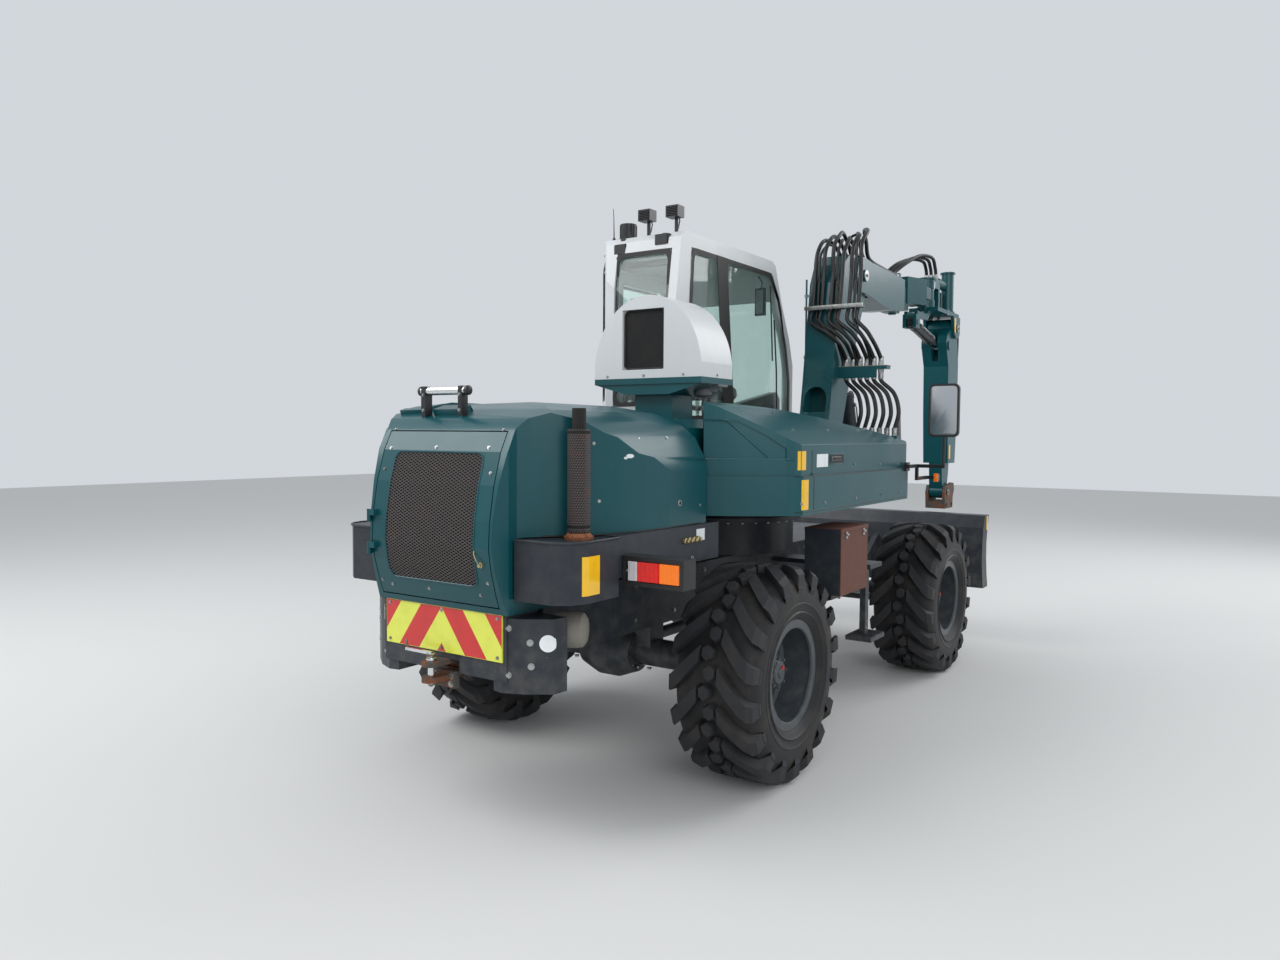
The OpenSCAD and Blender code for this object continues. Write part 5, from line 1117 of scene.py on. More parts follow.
# Cab: welded frame in white, glass bonded in with a dark printed border and rubber. Wiper, mirror, lamps,
# beacon and aerial are screwed on; the consoles and the blind inside are moulded in grey plastic.
def pane(name):
    """Tinted cab glass with a film of dust."""
    t = Tree(name)
    haze = t.noise(4.0, 4.0, 0.6)
    smear = t.noise(2.2, 3.0, 0.6, t.stretched(1.0, 1.0, 0.3))
    tone = t.mix(haze.ramp(0.45, 0.8) * 0.2, (0.78, 0.90, 0.86), (0.66, 0.74, 0.70))
    return t.finish(tone, smear.ramp(0.5, 0.9) * 0.06 + 0.012, None, Transmission_Weight=0.97, IOR=1.12,
                    Coat_Weight=0.5, Coat_Roughness=0.02)


glass = pane("cab_glass")
dress(glass, *[name for name, slot in SLOTS.items() if slot == "glass"])


def round_frame(corners, width, radius):
    """Outer and inner outlines of a border inside a polygon."""
    outer, inner = [], []
    for i, corner in enumerate(corners):
        here, before, after = Vector(corner), Vector(corners[i - 1]), Vector(corners[(i + 1) % len(corners)])
        into, away = (before - here).normalized(), (after - here).normalized()
        for k in range(5):
            s = k / 4
            p = here + into * radius * (1 - s) ** 2 + away * radius * s ** 2
            outer.append(p)
            bisect = (into + away).normalized()
            reach = width / max(0.35, math.sin(math.acos(max(-1.0, min(1.0, into.dot(bisect))))))
            inner.append(p + bisect * reach)
    return outer, inner


def border(shape, corners, place, width, radius, thick=0.003):
    """A flat border along a window's edge. place turns two numbers and a depth into a point."""
    outer, inner = round_frame(corners, width, radius)
    shape.bridge([[place(*a, 0), place(*a, thick), place(*b, thick), place(*b, 0)]
                  for a, b in zip(outer + outer[:1], inner + inner[:1])], 0, caps=False)


RIGHT_WINDOW = [(0.470, 1.960), (0.545, 3.060), (1.690, 3.060), (1.800, 2.830), (1.940, 2.560),
                (2.010, 2.300), (2.010, 2.000)]
REAR_SIDE, REAR_WIDE = -0.12, 0.45
REAR_FOOT, REAR_TALL = 2.04, 1.01
rear_x = [touch("cab_shell", 0.25, y, z)[0].x - REAR_AXLE for z in (REAR_FOOT, REAR_FOOT + REAR_TALL)
          for y in (REAR_SIDE, REAR_SIDE + REAR_WIDE)]


def rear_wall(y, z, d):
    """A point on the cab's sloping rear wall, moved in by d."""
    s, h = (y - REAR_SIDE) / REAR_WIDE, (z - REAR_FOOT) / REAR_TALL
    x = (rear_x[0] * (1 - s) + rear_x[1] * s) * (1 - h) + (rear_x[2] * (1 - s) + rear_x[3] * s) * h
    return at(x - 0.0015 + d, y, z)


shape = Shape()
border(shape, RIGHT_WINDOW, lambda x, z, d: at(x, -0.1755 + d, z), 0.032, 0.05)
border(shape, [(-0.110, 2.050), (-0.110, 3.040), (0.320, 3.040), (0.320, 2.050)], rear_wall, 0.028, 0.05)
border(shape, [(0.520, 2.100), (0.560, 3.040), (0.850, 3.040), (0.850, 2.100)],
       lambda x, z, d: at(x, 0.7515 + 0.797 * (x - 0.850) - d, z), 0.024, 0.04)
border(shape, [(1.790, 1.800), (1.790, 2.840), (1.890, 2.680), (1.990, 2.400), (2.010, 1.800)],
       lambda x, z, d: at(x, 0.7915 - d, z), 0.022, 0.03)
# the upright that parts the side window's fixed pane from its sliding one: x at its top, x at its foot, y
UPRIGHT = ((0.860, 0.975, -0.178), (0.995, 1.122, -0.178), (0.995, 1.122, -0.1735), (0.860, 0.975, -0.1735))
shape.bridge([[at(x, y, 3.06) for x, _, y in UPRIGHT], [at(x, y, 2.02) for _, x, y in UPRIGHT]], 0)
shape.done("window_borders", [seal_rubber], "turret", angle=30)
shape = Shape()
border(shape, [(1.080, 2.050), (1.080, 2.980), (1.660, 2.980), (1.660, 1.700), (1.520, 1.700)],
       lambda x, z, d: at(x, 0.8055 - d, z), 0.024, 0.04)
shape.box(at(1.040, 0.800, 1.93), at(1.150, 0.828, 1.965), 0, 0.006)
shape.done("door_border", [seal_rubber], "door", angle=30)
# two work lamps under the roof's rear edge: housing, face and foot
shape = Shape()
for x, y, z in ((0.4550, 0.294, 3.073), (0.4550, -0.027, 3.102)):
    shape.box(at(x - 0.041, y - 0.050, z - 0.040), at(x + 0.006, y + 0.050, z + 0.034), 0, 0.008)
    shape.box(at(x - 0.0455, y - 0.043, z - 0.033), at(x - 0.040, y + 0.043, z + 0.027), 0, 0.002)
    shape.box(at(x - 0.012, y - 0.014, z + 0.030), at(x + 0.020, y + 0.014, 3.146), 0, 0.002)
for y in (-0.090, 0.120):
    # lamp heads on the roof: lens, cooling ribs behind it and a wire
    shape.box(at(0.5085, y - 0.040, 3.244), at(0.5120, y + 0.040, 3.305), 1, 0.001)
    for i in range(6):
        shape.box(at(0.4215, y - 0.038, 3.247 + 0.010 * i), at(0.4310, y + 0.038, 3.250 + 0.010 * i), 0)
    shape.tube([at(0.515, y, 3.262), at(0.545, y + 0.01, 3.235), at(0.545, y + 0.02, 3.19),
                at(0.520, y + 0.02, 3.152)], 0.004, 0, 8)
# the beacon's foot and the bars of its cage, then the aerial
BEACON_X, BEACON_Y, BEACON_FOOT = 0.560, 0.330, 0.064
CAGE_R, CAGE_BARS = 0.0555, 18
shape.box(at(BEACON_X - BEACON_FOOT, BEACON_Y - BEACON_FOOT, 3.149),
          at(BEACON_X + BEACON_FOOT, BEACON_Y + BEACON_FOOT, 3.158), 0, 0.003)
for k in range(CAGE_BARS):
    a = 2 * math.pi * k / CAGE_BARS
    foot = at(BEACON_X + CAGE_R * math.cos(a), BEACON_Y + CAGE_R * math.sin(a), 0)
    shape.box(foot + Vector((-0.0018, -0.0018, 3.166)), foot + Vector((0.0018, 0.0018, 3.252)), 0)
shape.tube([at(0.495, 0.400, 3.148), at(0.494, 0.402, 3.30), at(0.490, 0.404, 3.36)],
           [0.004, 0.0025, 0.0018], 0, 8)
shape.stack(at(0.495, 0.400, 3.148), (0, 0, 1), [(0, 0.014), (0.010, 0.012), (0.024, 0.006)], 0, 14)
shape.done("roof_lights", [black_plastic, lens_clear], "turret")
# roof edge, wiper with its arm, the tall inner mirror on its bracket, sun blind roll
LEVER_KNOB = ((0, 0.017), (0.03, 0.023), (0.07, 0.021), (0.082, 0.0))
shape = Shape()
edge = [at(0.440, -0.155, 3.096), at(1.735, -0.155, 3.096)]
shape.take(rods([edge], 0.0055, 8, seal_rubber), 0)
shape.tube([at(1.770, -0.185, 2.035), at(1.745, -0.190, 2.35), at(1.700, -0.1885, 2.72)], 0.006, 0, 8)
shape.tube([at(1.690, -0.184, 2.42), at(1.640, -0.184, 2.96)], 0.0055, 0, 8)
shape.stack(at(1.770, -0.168, 2.035), (0, -1, 0), [(0, 0.020), (0.022, 0.018), (0.026, 0.010)], 0, 16)
shape.box(at(0.720, 0.0, 3.010), at(0.780, 0.60, 3.050), 1, 0.012)
shape.box(at(1.655, -0.128, 2.755), at(1.680, -0.048, 2.955), 0, 0.010)
shape.box(at(1.652, -0.116, 2.770), at(1.655, -0.060, 2.940), 2, 0.001)
shape.tube([at(1.67, -0.09, 2.94), at(1.69, -0.09, 3.00), at(1.68, -0.06, 3.05)], 0.006, 0, 8)
# console and levers each side of the seat
for y in (0.040, 0.571):
    shape.box(at(1.16, y - 0.028, 1.90), at(1.32, y + 0.028, 2.118), 1, 0.012)
    shape.tube([at(1.285, y, 2.178), at(1.300, y, 2.26), at(1.310, y, 2.31)], [0.008, 0.008, 0.019], 0, 12)
    shape.stack(at(1.309, y, 2.305), (0.1, 0, 1), LEVER_KNOB, 0, 16)
shape.box(at(1.700, 0.18, 2.06), at(1.76, 0.43, 2.25), 1, 0.015)
shape.box(at(1.6965, 0.20, 2.09), at(1.7005, 0.41, 2.22), 2, 0.001)
for y in (0.20, 0.38):
    shape.box(at(1.66, y - 0.05, 1.735), at(1.80, y + 0.05, 1.752), 0, 0.005)
mirror_glass = bare_metal("mirror_glass", (0.50, 0.52, 0.54), DUST, 0.16, 0.05)
shape.done("cab_fittings", [black_plastic, grey_plastic, mirror_glass], "turret")
CAB_SIDE_BOLTS = ((0.60, 1.88), (0.98, 1.86), (1.40, 1.86), (1.80, 1.88))
CAB_REAR_BOLTS = ((0.60, 0.60, 1.90), (0.84, 0.80, 1.90), (0.60, 0.60, 3.09))
cab_bolts = [(at(x, -0.1705, z), (0, -1, 0), 0.006) for x, z in CAB_SIDE_BOLTS]
cab_bolts += [(*touch("cab_shell", x, y, z), 0.006) for x, y, z in CAB_REAR_BOLTS]
piece("cab_bolts", bolt_mesh(cab_bolts), "turret")


# Driver's seat: foam cushion and back under woven cloth, with sewn side rolls, on a steel base with a
# rubber bellows. The foam is drawn as crowned pads that the seams pull in.
def cloth(name, colour):
    """A seat's woven cover."""
    t = Tree(name)
    warp = t.add("TexWave", {"Vector": t.place, "Scale": 260.0}, output=1, bands_direction="Y")
    weft = t.add("TexWave", {"Vector": t.place, "Scale": 260.0}, output=1, bands_direction="Z")
    weave = warp.math("MAXIMUM", weft)
    tone = t.mix(weave * 0.5, colour, tuple(c * 2.2 for c in colour))
    return t.finish(tone, weave.between(0.8, 0.95), t.bump(weave, 0.4, 0.0006), Sheen_Weight=0.3)


seat_cloth = cloth("seat_cloth", (0.014, 0.014, 0.015))
dress(seat_cloth, *[name for name, slot in SLOTS.items() if slot == "fabric"])


def cushion(name, centre, along, across, size, crown):
    """A padded form: crowned faces, sides that pull in between the corners, and two sewn channels."""
    along, across = Vector(along).normalized(), Vector(across).normalized()
    up = along.cross(across).normalized()
    count = 20
    tops, bottoms = [], []
    for i in range(count + 1):
        for rows, hand in ((tops, 1), (bottoms, -1)):
            row = []
            for k in range(count + 1):
                u, v = 2 * i / count - 1, 2 * k / count - 1
                # corners are rounded, and each side pulls in a little between them
                x = u * math.sqrt(1 - 0.18 * v * v) * (1 - 0.030 * (1 - v * v))
                y = v * math.sqrt(1 - 0.18 * u * u) * (1 - 0.030 * (1 - u * u))
                dome = ((1 - u ** 4) * (1 - v ** 4)) ** 0.5
                channel = 0.0
                for line in (-0.56, 0.56):
                    channel += math.exp(-((v - line) / 0.045) ** 2)
                lift = dome - 0.16 * channel * dome
                if hand > 0:
                    height = size[2] / 2 * (0.30 + 0.70 * lift) + crown * lift
                else:
                    height = size[2] / 2 * (0.30 + 0.70 * min(1.0, dome * 1.5))
                row.append(Vector(centre) + along * x * size[0] / 2 + across * y * size[1] / 2
                           + up * height * hand)
            rows.append(row)
    shape = Shape()
    shape.bridge([top + bottom[::-1] for top, bottom in zip(tops, bottoms)], 0)
    shape.done(name, [seat_cloth], "turret", ["seat"], 60)


BACK_LEAN = (-0.205, 0, 0.98)
cushion("seat_cushion", at(1.090, 0.305, 1.936), (1, 0, 0), (0, 1, 0), (0.490, 0.480, 0.082), 0.014)
cushion("seat_back", at(0.827, 0.305, 2.330), BACK_LEAN, (0, -1, 0), (0.640, 0.440, 0.096), 0.012)
cushion("seat_head", at(0.742, 0.305, 2.735), BACK_LEAN, (0, -1, 0), (0.150, 0.260, 0.080), 0.008)
# base, bellows, pan and back shell, then the arm rests and the headrest's two posts
BACK_SHELL = ((0.858, 1.930), (0.738, 2.640), (0.752, 2.650), (0.885, 1.930))
shape = Shape()
shape.box(at(0.905, 0.135, 1.722), at(1.245, 0.475, 1.760), 1, 0.006)
for i in range(5):
    z = 1.762 + 0.023 * i
    shape.box(at(0.925, 0.155, z), at(1.225, 0.455, z + 0.012), 2, 0.005)
    shape.box(at(0.938, 0.168, z + 0.010), at(1.212, 0.442, z + 0.024), 2, 0.003)
shape.box(at(0.880, 0.100, 1.872), at(1.310, 0.510, 1.900), 1, 0.008)
shape.bridge([[at(x, y, z) for x, z in BACK_SHELL] for y in (0.16, 0.45)], 1)
for y in (0.039, 0.571):
    shape.box(at(0.880, y - 0.019, 2.118), at(1.300, y + 0.019, 2.178), 0, 0.014)
    shape.box(at(0.860, y - 0.010, 1.990), at(0.900, y + 0.010, 2.140), 1, 0.004)
for y in (0.20, 0.41):
    shape.tube([at(0.744, y, 2.62), at(0.735, y, 2.70)], 0.007, 1, 10)
shape.done("seat_frame", [seat_cloth, black_plastic, seal_rubber], "turret", ["seat"], 35)


# Mirrors: real glass in the black shells, on both sides. Orange marker lamps stand on brackets below,
# and the head lamps' glass is in front.
MIRROR_FOOT, MIRROR_TOP = 1.882, 2.224
MIRROR_RIM = 0.010
lens_marker = film("marker_lens", (0.95, 0.20, 0.01), 0.6, 0.10)
shape = Shape()
for hand in (-1, 1):
    y0, y1 = sorted((hand * 1.264, hand * 1.450))
    corners = [(y0, MIRROR_FOOT), (y0, MIRROR_TOP), (y1, MIRROR_TOP), (y1, MIRROR_FOOT)]
    outer, inner = round_frame(corners, 0.004, 0.03)
    shape.bridge([[at(1.9848, *p) for p in outer], [at(1.9836, *p) for p in inner]], 1)
    y0, y1 = y0 - MIRROR_RIM, y1 + MIRROR_RIM
    z0, z1 = MIRROR_FOOT - MIRROR_RIM, MIRROR_TOP + MIRROR_RIM
    rim_outer, rim_inner = round_frame([(y0, z0), (y0, z1), (y1, z1), (y1, z0)], MIRROR_RIM, 0.035)
    shape.bridge([[at(1.985, *a), at(1.980, *a), at(1.980, *b), at(1.985, *b)]
                  for a, b in zip(rim_outer + rim_outer[:1], rim_inner + rim_inner[:1])], 0, caps=False)
    shape.box(at(2.208, hand * 1.248 - 0.016, 1.543), at(2.2165, hand * 1.248 + 0.016, 1.603), 2, 0.003)
shape.done("mirror_glasses", [black_plastic, mirror_glass, lens_marker], "turret")
LAMP_BEZEL = ((0.0, 0.036), (0.004, 0.037), (0.006, 0.033))
LAMP_GLASS = ((0.0, 0.032), (0.003, 0.030), (0.006, 0.018), (0.007, 0.0))
shape = Shape()
for x, y in ((2.120, 0.520), (2.640, -0.490)):
    shape.stack(at(x + 0.070, y, 1.455), (1, 0, 0), LAMP_BEZEL, 1, 28)
    shape.stack(at(x + 0.074, y, 1.455), (1, 0, 0), LAMP_GLASS, 0, 28)
shape.done("head_lamps", [lens_clear, zinc], "turret")


# Boom, link, dipper head and dipper: box sections in the hood's paint, with forged pins. A pin's end has a
# pale washer plate, held by a locking bolt between two small screws.
pin_steel = bare_metal("pin_steel", (0.46, 0.46, 0.45), MUD, 0.34, 0.35)
PIN_WASHER = 0.004
# body, the pin's x and z, y of its middle, half its length, its radius
PINS = (("turret", 1.800, 1.720, -0.500, 0.153, 0.040), ("boom_one", 2.310, 3.090, -0.500, 0.161, 0.045),
        ("dipper_head", 4.360, 2.880, -0.640, 0.151, 0.035), ("dipper", 4.330, 1.345, -0.640, 0.100, 0.030))
for body, x, z, y, half, radius in PINS:
    washer = [(0, radius * 0.95), (PIN_WASHER, radius * 0.92), (PIN_WASHER + 0.001, radius * 0.45)]
    shape = Shape()
    for hand in (-1, 1):
        face = at(x, y + hand * (half + 0.0002), z)
        shape.stack(face, (0, hand, 0), washer, 0, 32)
        shape.take(bolt_mesh([(face + Vector((0, hand * PIN_WASHER, 0)), (0, hand, 0), 0.011)]), 1)
        screws = [face + Vector((radius * 0.62 * side, hand * PIN_WASHER, 0)) for side in (1, -1)]
        shape.take(bolt_mesh([(p, (0, hand, 0), 0.0045) for p in screws]), 1)
    shape.done("pin_ends_" + body, [pin_steel, zinc], body)
dress(chrome, *[name for name, slot in SLOTS.items() if slot == "rod"])
dress(rusty("motor_grey", (0.22, 0.22, 0.21), 0.15, (0.14, 0.12, 0.10), (0.26, 0.22, 0.17)),
      *[name for name, slot in SLOTS.items() if slot == "steel"])


# Cylinders: a welded barrel with its gland, a wiper ring and two ports with bent steel pipes. Chromed
# rods slide through the glands. The dipper's cylinder is black, the others anthracite.
PORT = ((0, 0.015), (0.012, 0.015), (0.012, 0.012), (0.020, 0.012))
# the pipe's bends: share of the barrel's reach, and distance off the barrel
PIPE_BENDS = ((0.84, 0.010), (0.80, 0.018), (0.50, 0.013), (0.24, 0.016))
# body, x and z of the barrel's pin and of the rod's pin, y, radii of barrel and rod, the barrel's reach
GLANDS = (("lift_cylinder", 2.530, 1.640, 2.240, 2.420, -0.500, 0.062, 0.034, 0.600),
          ("dipper_cylinder", 3.450, 2.855, 4.195, 2.710, -0.640, 0.048, 0.028, 0.560),
          ("coupler_cylinder", 4.635, 2.480, 4.510, 1.380, -0.640, 0.045, 0.025, 0.700),
          ("blade_cylinder", 3.295, 0.980, 3.830, 0.740, 0.0, 0.045, 0.025, 0.460))
for body, x0, z0, x1, z1, y, barrel, rod, length in GLANDS:
    start, end = at(x0, y, z0), at(x1, y, z1)
    way = (end - start).normalized()
    side = Vector((0, 1 if body == "blade_cylinder" else -1, 0))
    gland = [(0, barrel * 0.98), (0.004, barrel + 0.005), (0.034, barrel + 0.005), (0.038, barrel * 0.96)]
    wiper = [(0, rod + 0.009), (0.006, rod + 0.008), (0.008, rod + 0.0008)]
    band = [(0, barrel * 0.98), (0.003, barrel + 0.003), (0.016, barrel + 0.003), (0.019, barrel * 0.98)]
    shape = Shape()
    shape.stack(start + way * (length - 0.050), way, gland, 0, 32)
    shape.stack(start + way * (length - 0.002), way, wiper, 1, 28)
    shape.stack(start + way * (length * 0.16), way, band, 0, 32)
    for share in (0.20, 0.84):
        shape.stack(start + way * (length * share) + side * (barrel - 0.003), side, PORT, 2, 6)
    pipe = [start + way * (length * share) + side * (barrel + off) for share, off in PIPE_BENDS]
    shape.tube(pipe, 0.0065, 2, 10)
    colour = black_paint if body == "dipper_cylinder" else anthracite
    shape.done("gland_" + body, [colour, seal_rubber, zinc], body)
# clamp bar and hose plate on the boom, both in a pale primer, with the plate's hexagon fittings
CLAMP_Z = 2.800
FITTING = ((0, 0.021), (0.018, 0.021), (0.018, 0.017), (0.030, 0.017))
beige = paint("beige_primer", (0.34, 0.31, 0.24), (0.24, 0.21, 0.16), 0.5, 0.05, 0.5, 0.4)
shape = Shape()
shape.box(at(1.790, -0.825, 2.786), at(1.812, -0.385, 2.814), 0, 0.002)
for y in (-0.780, -0.720, -0.600, -0.450):
    shape.take(bolt_mesh([(at(1.790, y, CLAMP_Z), (-1, 0, 0), 0.008)]), 1)
shape.box(at(1.896, -0.982, 2.3725), at(1.984, -0.608, 2.3765), 0, 0.001)
for i in range(6):
    for z, way in ((2.3765, 1), (2.3500, -1)):
        shape.stack(at(1.940, -0.660 - 0.052 * i, z), (0, 0, way), FITTING, 1, 6)
shape.done("hose_plates", [beige, zinc], "boom_one")
# a painted pipe beside the boom, held by three clips
shape = Shape()
shape.tube([at(1.862, -0.372, 1.90), at(1.860, -0.372, 2.4), at(1.858, -0.372, 3.02)], 0.007, 0, 10)
for z in (2.05, 2.45, 2.9):
    shape.box(at(1.850, -0.384, z - 0.010), at(1.872, -0.360, z + 0.010), 1, 0.002)
shape.done("boom_line", [green, zinc], "boom_one")
# yellow bands on the dipper's sides and on its head's cheek, and a white plate on the head
shape = Shape()
for y in (-0.755, -0.525):
    patch(shape, "dipper", (4.290, y, 1.725), 0.045, 0.130, 0.0020, cells=(3, 3))
shape.done("dipper_band", [reflector_yellow], "dipper")
shape = Shape()
patch(shape, "dipper_head", (4.285, -0.79, 2.905), 0.045, 0.130, 0.0020, cells=(3, 3))
patch(shape, "dipper_head", (3.85, -0.72, 3.18), 0.020, 0.110, 0.0015, 1, cells=(2, 3))
shape.done("head_band", [reflector_yellow, label_white], "dipper_head")
HEAD_SIDE_BOLTS = ((4.10, 3.02), (4.10, 2.86), (4.22, 2.75), (3.98, 3.10))
head_bolts = [(p, (0, 0, 1), 0.008) for p in around(at(4.300, -0.700, 3.3955), (0, 0, 1), 0.042, 6)]
head_bolts += [(*touch("dipper_head", x, -0.80, z), 0.008) for x, z in HEAD_SIDE_BOLTS]
piece("head_bolts", bolt_mesh(head_bolts), "dipper_head")
BOOM_TWO_BOLTS = ((2.55, 3.12), (2.95, 3.10), (3.20, 3.06))
boom_two_bolts = [(*touch("boom_two", x, -0.36, z), 0.008) for x, z in BOOM_TWO_BOLTS]
piece("boom_two_bolts", bolt_mesh(boom_two_bolts), "boom_two")


# Hoses: rubber with steel ferrules crimped on, in bundles from the turret up the boom, over its knuckle,
# along to the head and down to the dipper. Each end is held in a fitting, so none is free. A bundle that
# crosses a joint is one mesh that rides on no body.
hose_rubber = rubber("hose_rubber", (0.009, 0.010, 0.011), 0.12, 0.38, 0.0004)
HOSE_R = 0.0150
PILOT_R = 0.0100
# y of each thick hose at the turret's cover, on the hose plate, in the clamp and in boom two's block
LANES = [(-0.780 - 0.055 * i, -0.660 - 0.052 * i, -0.430 - 0.070 * i, -0.400 - 0.040 * i) for i in range(6)]
# y of the two hoses that hang from the head to the dipper
DROPS = (-0.728, -0.552)


def smooth_path(points, steps=8):
    """A smooth line through points."""
    points = [at(*p) for p in points]
    ends = [points[0] * 2 - points[1]] + points + [points[-1] * 2 - points[-2]]
    path = []
    for i in range(1, len(ends) - 2):
        a, b, c, d = ends[i - 1:i + 3]
        for k in range(steps):
            t = k / steps
            path.append(0.5 * (b * 2 + (c - a) * t + (a * 2 - b * 5 + c * 4 - d) * t * t
                               + (b * 3 - a - c * 3 + d) * t ** 3))
    path.append(points[-1])
    return path


def cut(paths, low, high):
    """The part of each path whose place in X lies from low to high."""
    return [[p for p in path if at(low, 0, 0).x <= p.x <= at(high, 0, 0).x] for path in paths]


def bundle(name, paths, replaced, a, b=None, start=None, end=None, radius=HOSE_R):
    """Hoses as one mesh on body a, or, given body b, one mesh that rides on no body; the two places change
    nothing.
    """
    mesh = rods([path for path in paths if len(path) > 1], radius, 12, hose_rubber)
    mesh.shade_smooth()
    mesh.set_sharp_from_angle(angle=math.radians(50))
    if b is None:
        return piece(name, mesh, a, replaced)
    thing = bpy.data.objects.new(name, mesh)
    bpy.context.scene.collection.objects.link(thing)
    if replaced:
        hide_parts(*replaced)
    at(*start)
    at(*end)
    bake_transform(thing)
    return thing


def ferrules(name, ends, body):
    """Crimped ferrules and their nuts at (end, way the hose leaves)."""
    nut = [(0, HOSE_R * 1.05), (0.002, HOSE_R * 1.30), (0.014, HOSE_R * 1.30), (0.014, HOSE_R * 1.20),
           (0.020, HOSE_R * 1.20)]
    sleeve = [(0, HOSE_R * 1.10), (0.002, HOSE_R * 1.28), (0.036, HOSE_R * 1.28), (0.040, HOSE_R * 1.05)]
    shape = Shape()
    for place, way in ends:
        way = Vector(way).normalized()
        place = at(*place)
        shape.stack(place - way * 0.004, way, nut, 0, 6)
        shape.stack(place + way * 0.014, way, sleeve, 0, 16)
    return shape.done(name, [zinc], body)


lower, boom, fold, head = [], [], [], []
for i, (a, b, c, d) in enumerate(LANES):
    rise = 0.022 * (i % 3)
    lower.append(smooth_path([(1.860, a, 1.8745), (1.860, a, 1.920), (1.864, a - 0.026, 2.040),
                              (1.892, (a + b) / 2 - 0.050, 2.170), (1.936, b - 0.012, 2.258),
                              (1.940, b, 2.296), (1.940, b, 2.3295)]))
    boom.append(smooth_path([(1.940, b, 2.3925), (1.940, b, 2.420), (1.884, min(b + 0.010, -0.652), 2.488),
                             (1.800, min(b + 0.015, -0.645), 2.545), (1.794, 0.6 * b + 0.4 * c, 2.612),
                             (1.821, c, 2.700), (1.8425, c, 2.800), (1.855, c, 2.880), (1.872, c, 2.990)]))
    fold.append(smooth_path([(1.872, c, 2.9905), (1.880, c, 3.050), (1.908 - rise / 2, c, 3.200 + rise),
                             (2.000, c, 3.310 + rise), (2.170, (c + d) / 2, 3.352 + rise),
                             (2.330, (c + 3 * d) / 4, 3.322 + rise / 2), (2.520, d, 3.254), (2.850, d, 3.226),
                             (3.150, d, 3.214), (3.1855, d, 3.214)]))
for i in range(3):
    d, e = -0.400 - 0.040 * (i + 1), -0.640 + 0.042 - 0.042 * i
    head.append(smooth_path([(3.2265, d, 3.222), (3.262, d, 3.222), (3.350, d, 3.278),
                             (3.490, (2 * d + e) / 3, 3.375), (3.690, (d + 2 * e) / 3, 3.440 + 0.012 * i),
                             (3.860, e, 3.445 + 0.012 * i), (3.960, e, 3.398), (3.990, e, 3.330),
                             (3.990, e, 3.2855)]))
drop = [smooth_path([(4.4505, y, 3.002), (4.478, y, 3.002), (4.530, y, 2.972), (4.562, y, 2.880),
                     (4.558, y, 2.680), (4.534, y, 2.480), (4.533, y, 2.330), (4.533, y, 2.2905)])
        for y in DROPS]
bundle("turret_hose_run", lower, ["turret_hoses"], "turret", "boom_one", (1.86, -0.9, 1.90),
       (1.93, -0.8, 2.33))
bundle("boom_hose_run", boom, ["boom_hoses"], "boom_one")
bundle("fold_hose_run", fold, ["fold_hoses"], "boom_one", "boom_two", (1.95, -0.5, 3.20), (2.75, -0.5, 3.20))
first, second = cut(head, 3.0, 3.61), cut(head, 3.60, 4.2)
for left, right in zip(first, second):
    left.append(right[0])
bundle("head_hose_start", first, ["head_hoses"], "boom_two", "offset_link", (3.25, -0.5, 3.2),
       (3.55, -0.5, 3.2))
bundle("head_hose_run", second, ["head_hoses"], "offset_link", "dipper_head", (3.70, -0.6, 3.2),
       (3.98, -0.6, 3.2))
bundle("dipper_hose_run", drop, ["dipper_hoses"], "dipper_head", "dipper", (4.5, -0.64, 3.0),
       (4.56, -0.64, 2.6))
# thinner pilot lines between the big ones
pilot_fold, pilot_boom = [], []
for i in range(3):
    c = -0.465 - 0.140 * i
    pilot_fold.append(smooth_path([(1.872, c, 2.990), (1.868, c, 3.060), (1.890, c, 3.19 + 0.03 * i),
                                   (1.99, -0.465 - 0.130 * i, 3.275 + 0.03 * i),
                                   (2.17, -0.44 - 0.07 * i, 3.315 + 0.02 * i),
                                   (2.34, -0.42 - 0.045 * i, 3.29), (2.52, -0.42 - 0.040 * i, 3.236),
                                   (3.15, -0.42 - 0.040 * i, 3.196)]))
    pilot_boom.append(smooth_path([(1.932, -0.634 - 0.104 * i, 2.372), (1.930, -0.634 - 0.104 * i, 2.42),
                                   (1.868, -0.632 - 0.104 * i, 2.50), (1.80, -0.632 - 0.100 * i, 2.57),
                                   (1.802, -0.55 - 0.12 * i, 2.64), (1.834, c, 2.72), (1.850, c, 2.80),
                                   (1.860, c, 2.90), (1.872, c, 2.992)]))
bundle("pilot_fold_run", pilot_fold, [], "boom_one", "boom_two", (1.95, -0.5, 3.20), (2.75, -0.5, 3.20),
       PILOT_R)
bundle("pilot_boom_run", pilot_boom, [], "boom_one", radius=PILOT_R)
ferrules("turret_ferrules", [((1.860, a, 1.876), (0, 0, 1)) for a, *_ in LANES], "turret")
ferrules("boom_ferrules", [((1.940, b, 2.3925), (0, 0, 1)) for _, b, *_ in LANES]
         + [((1.940, b, 2.330), (0, 0, -1)) for _, b, *_ in LANES], "boom_one")
ferrules("block_ferrules", [((3.186, d, 3.214), (-1, 0, 0)) for *_, d in LANES]
         + [((3.226, -0.440 - 0.040 * i, 3.222), (1, 0, 0)) for i in range(3)], "boom_two")
ferrules("head_ferrules", [((3.990, -0.598 - 0.042 * i, 3.285), (0, 0, 1)) for i in range(3)]
         + [((4.450, y, 3.002), (1, 0, 0)) for y in DROPS], "dipper_head")
ferrules("dipper_ferrules", [((4.533, y, 2.290), (0, 0, 1)) for y in DROPS], "dipper")
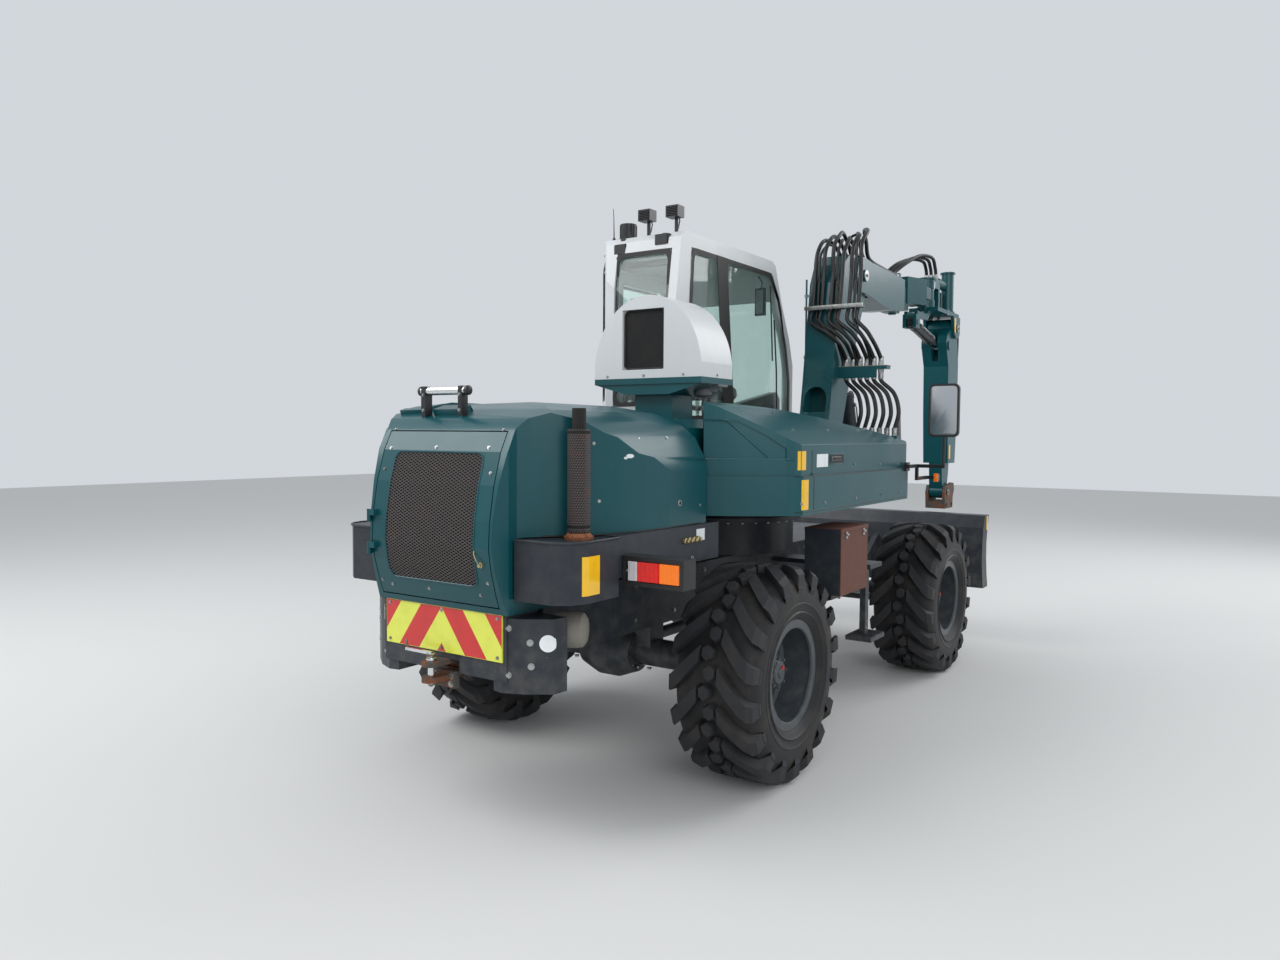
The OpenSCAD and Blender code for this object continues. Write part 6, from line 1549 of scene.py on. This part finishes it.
# a clip holds each thick hose to the clamp bar
shape = Shape()
for _, _, c, _ in LANES:
    shape.box(at(1.812, c - 0.024, CLAMP_Z - 0.017), at(1.819, c + 0.024, CLAMP_Z + 0.017), 0, 0.002)
shape.done("hose_clips", [zinc], "boom_one")
# the black upright guide by the cover
HOSE_GUIDE = ((1.905, 1.700), (1.975, 1.700), (1.985, 1.86), (1.965, 2.020), (1.940, 2.055), (1.915, 2.020))
shape = Shape()
shape.prism([(x + REAR_AXLE, z) for x, z in HOSE_GUIDE], "Y", -1.062, -1.050, 0, 0.002)
shape.done("hose_guide", [black_paint], "turret")


# Blade: a rolled plate of thick steel with a wear edge bolted along its foot, on two welded arms. Its
# upper corners carry yellow reflectors.
shape = Shape()
for hand in (-1, 1):
    patch(shape, "blade", (4.05, hand * 1.18, 1.10), 0.045, 0.125, 0.0025, cells=(3, 4))
shape.done("blade_reflectors", [reflector_yellow], "blade")
blade_bolts = [(*touch("blade", 4.20, -1.06 + 0.265 * i, 0.585), 0.014) for i in range(9)]
for hand in (-1, 1):
    blade_bolts += [(*touch("blade", 3.4, hand * 0.9, z), 0.012) for z in (0.80, 0.90)]
piece("blade_bolts", bolt_mesh(blade_bolts), "blade")


# Stage: a pale floor, soft light from all round, and three large soft lamps. The camera sees the floor and
# the world behind the object; neither is part of it.
reach = 30.0
floor_mesh = bpy.data.meshes.new("floor")
floor_mesh.from_pydata([(-reach, -reach, 0), (reach, -reach, 0), (reach, reach, 0), (-reach, reach, 0)], [],
                       [(0, 1, 2, 3)])
floor_mesh.materials.append(Tree("floor_pale").finish((0.62, 0.62, 0.61), 0.85))
floor = bpy.data.objects.new("floor", floor_mesh)
bpy.context.scene.collection.objects.link(floor)
world = bpy.data.worlds.new("studio")
world.use_nodes = True
world.node_tree.nodes["Background"].inputs[0].default_value = (0.86, 0.90, 0.95, 1)
world.node_tree.nodes["Background"].inputs[1].default_value = 0.75
bpy.context.scene.world = world
LAMPS = (("key", (-7, 6, 9), 7.0, 700), ("fill", (-8, -9, 6), 8.0, 420), ("front", (9, -6, 8), 7.0, 500))
for name, place, size, power in LAMPS:
    light = bpy.data.lights.new(name, "AREA")
    light.size = size
    light.energy = power
    lamp = bpy.data.objects.new(name, light)
    bpy.context.scene.collection.objects.link(lamp)
    lamp.location = place
    lamp.rotation_euler = (Vector((0, 0, 1.2)) - Vector(place)).to_track_quat("-Z", "Y").to_euler()
bpy.context.scene.view_settings.view_transform = "Standard"
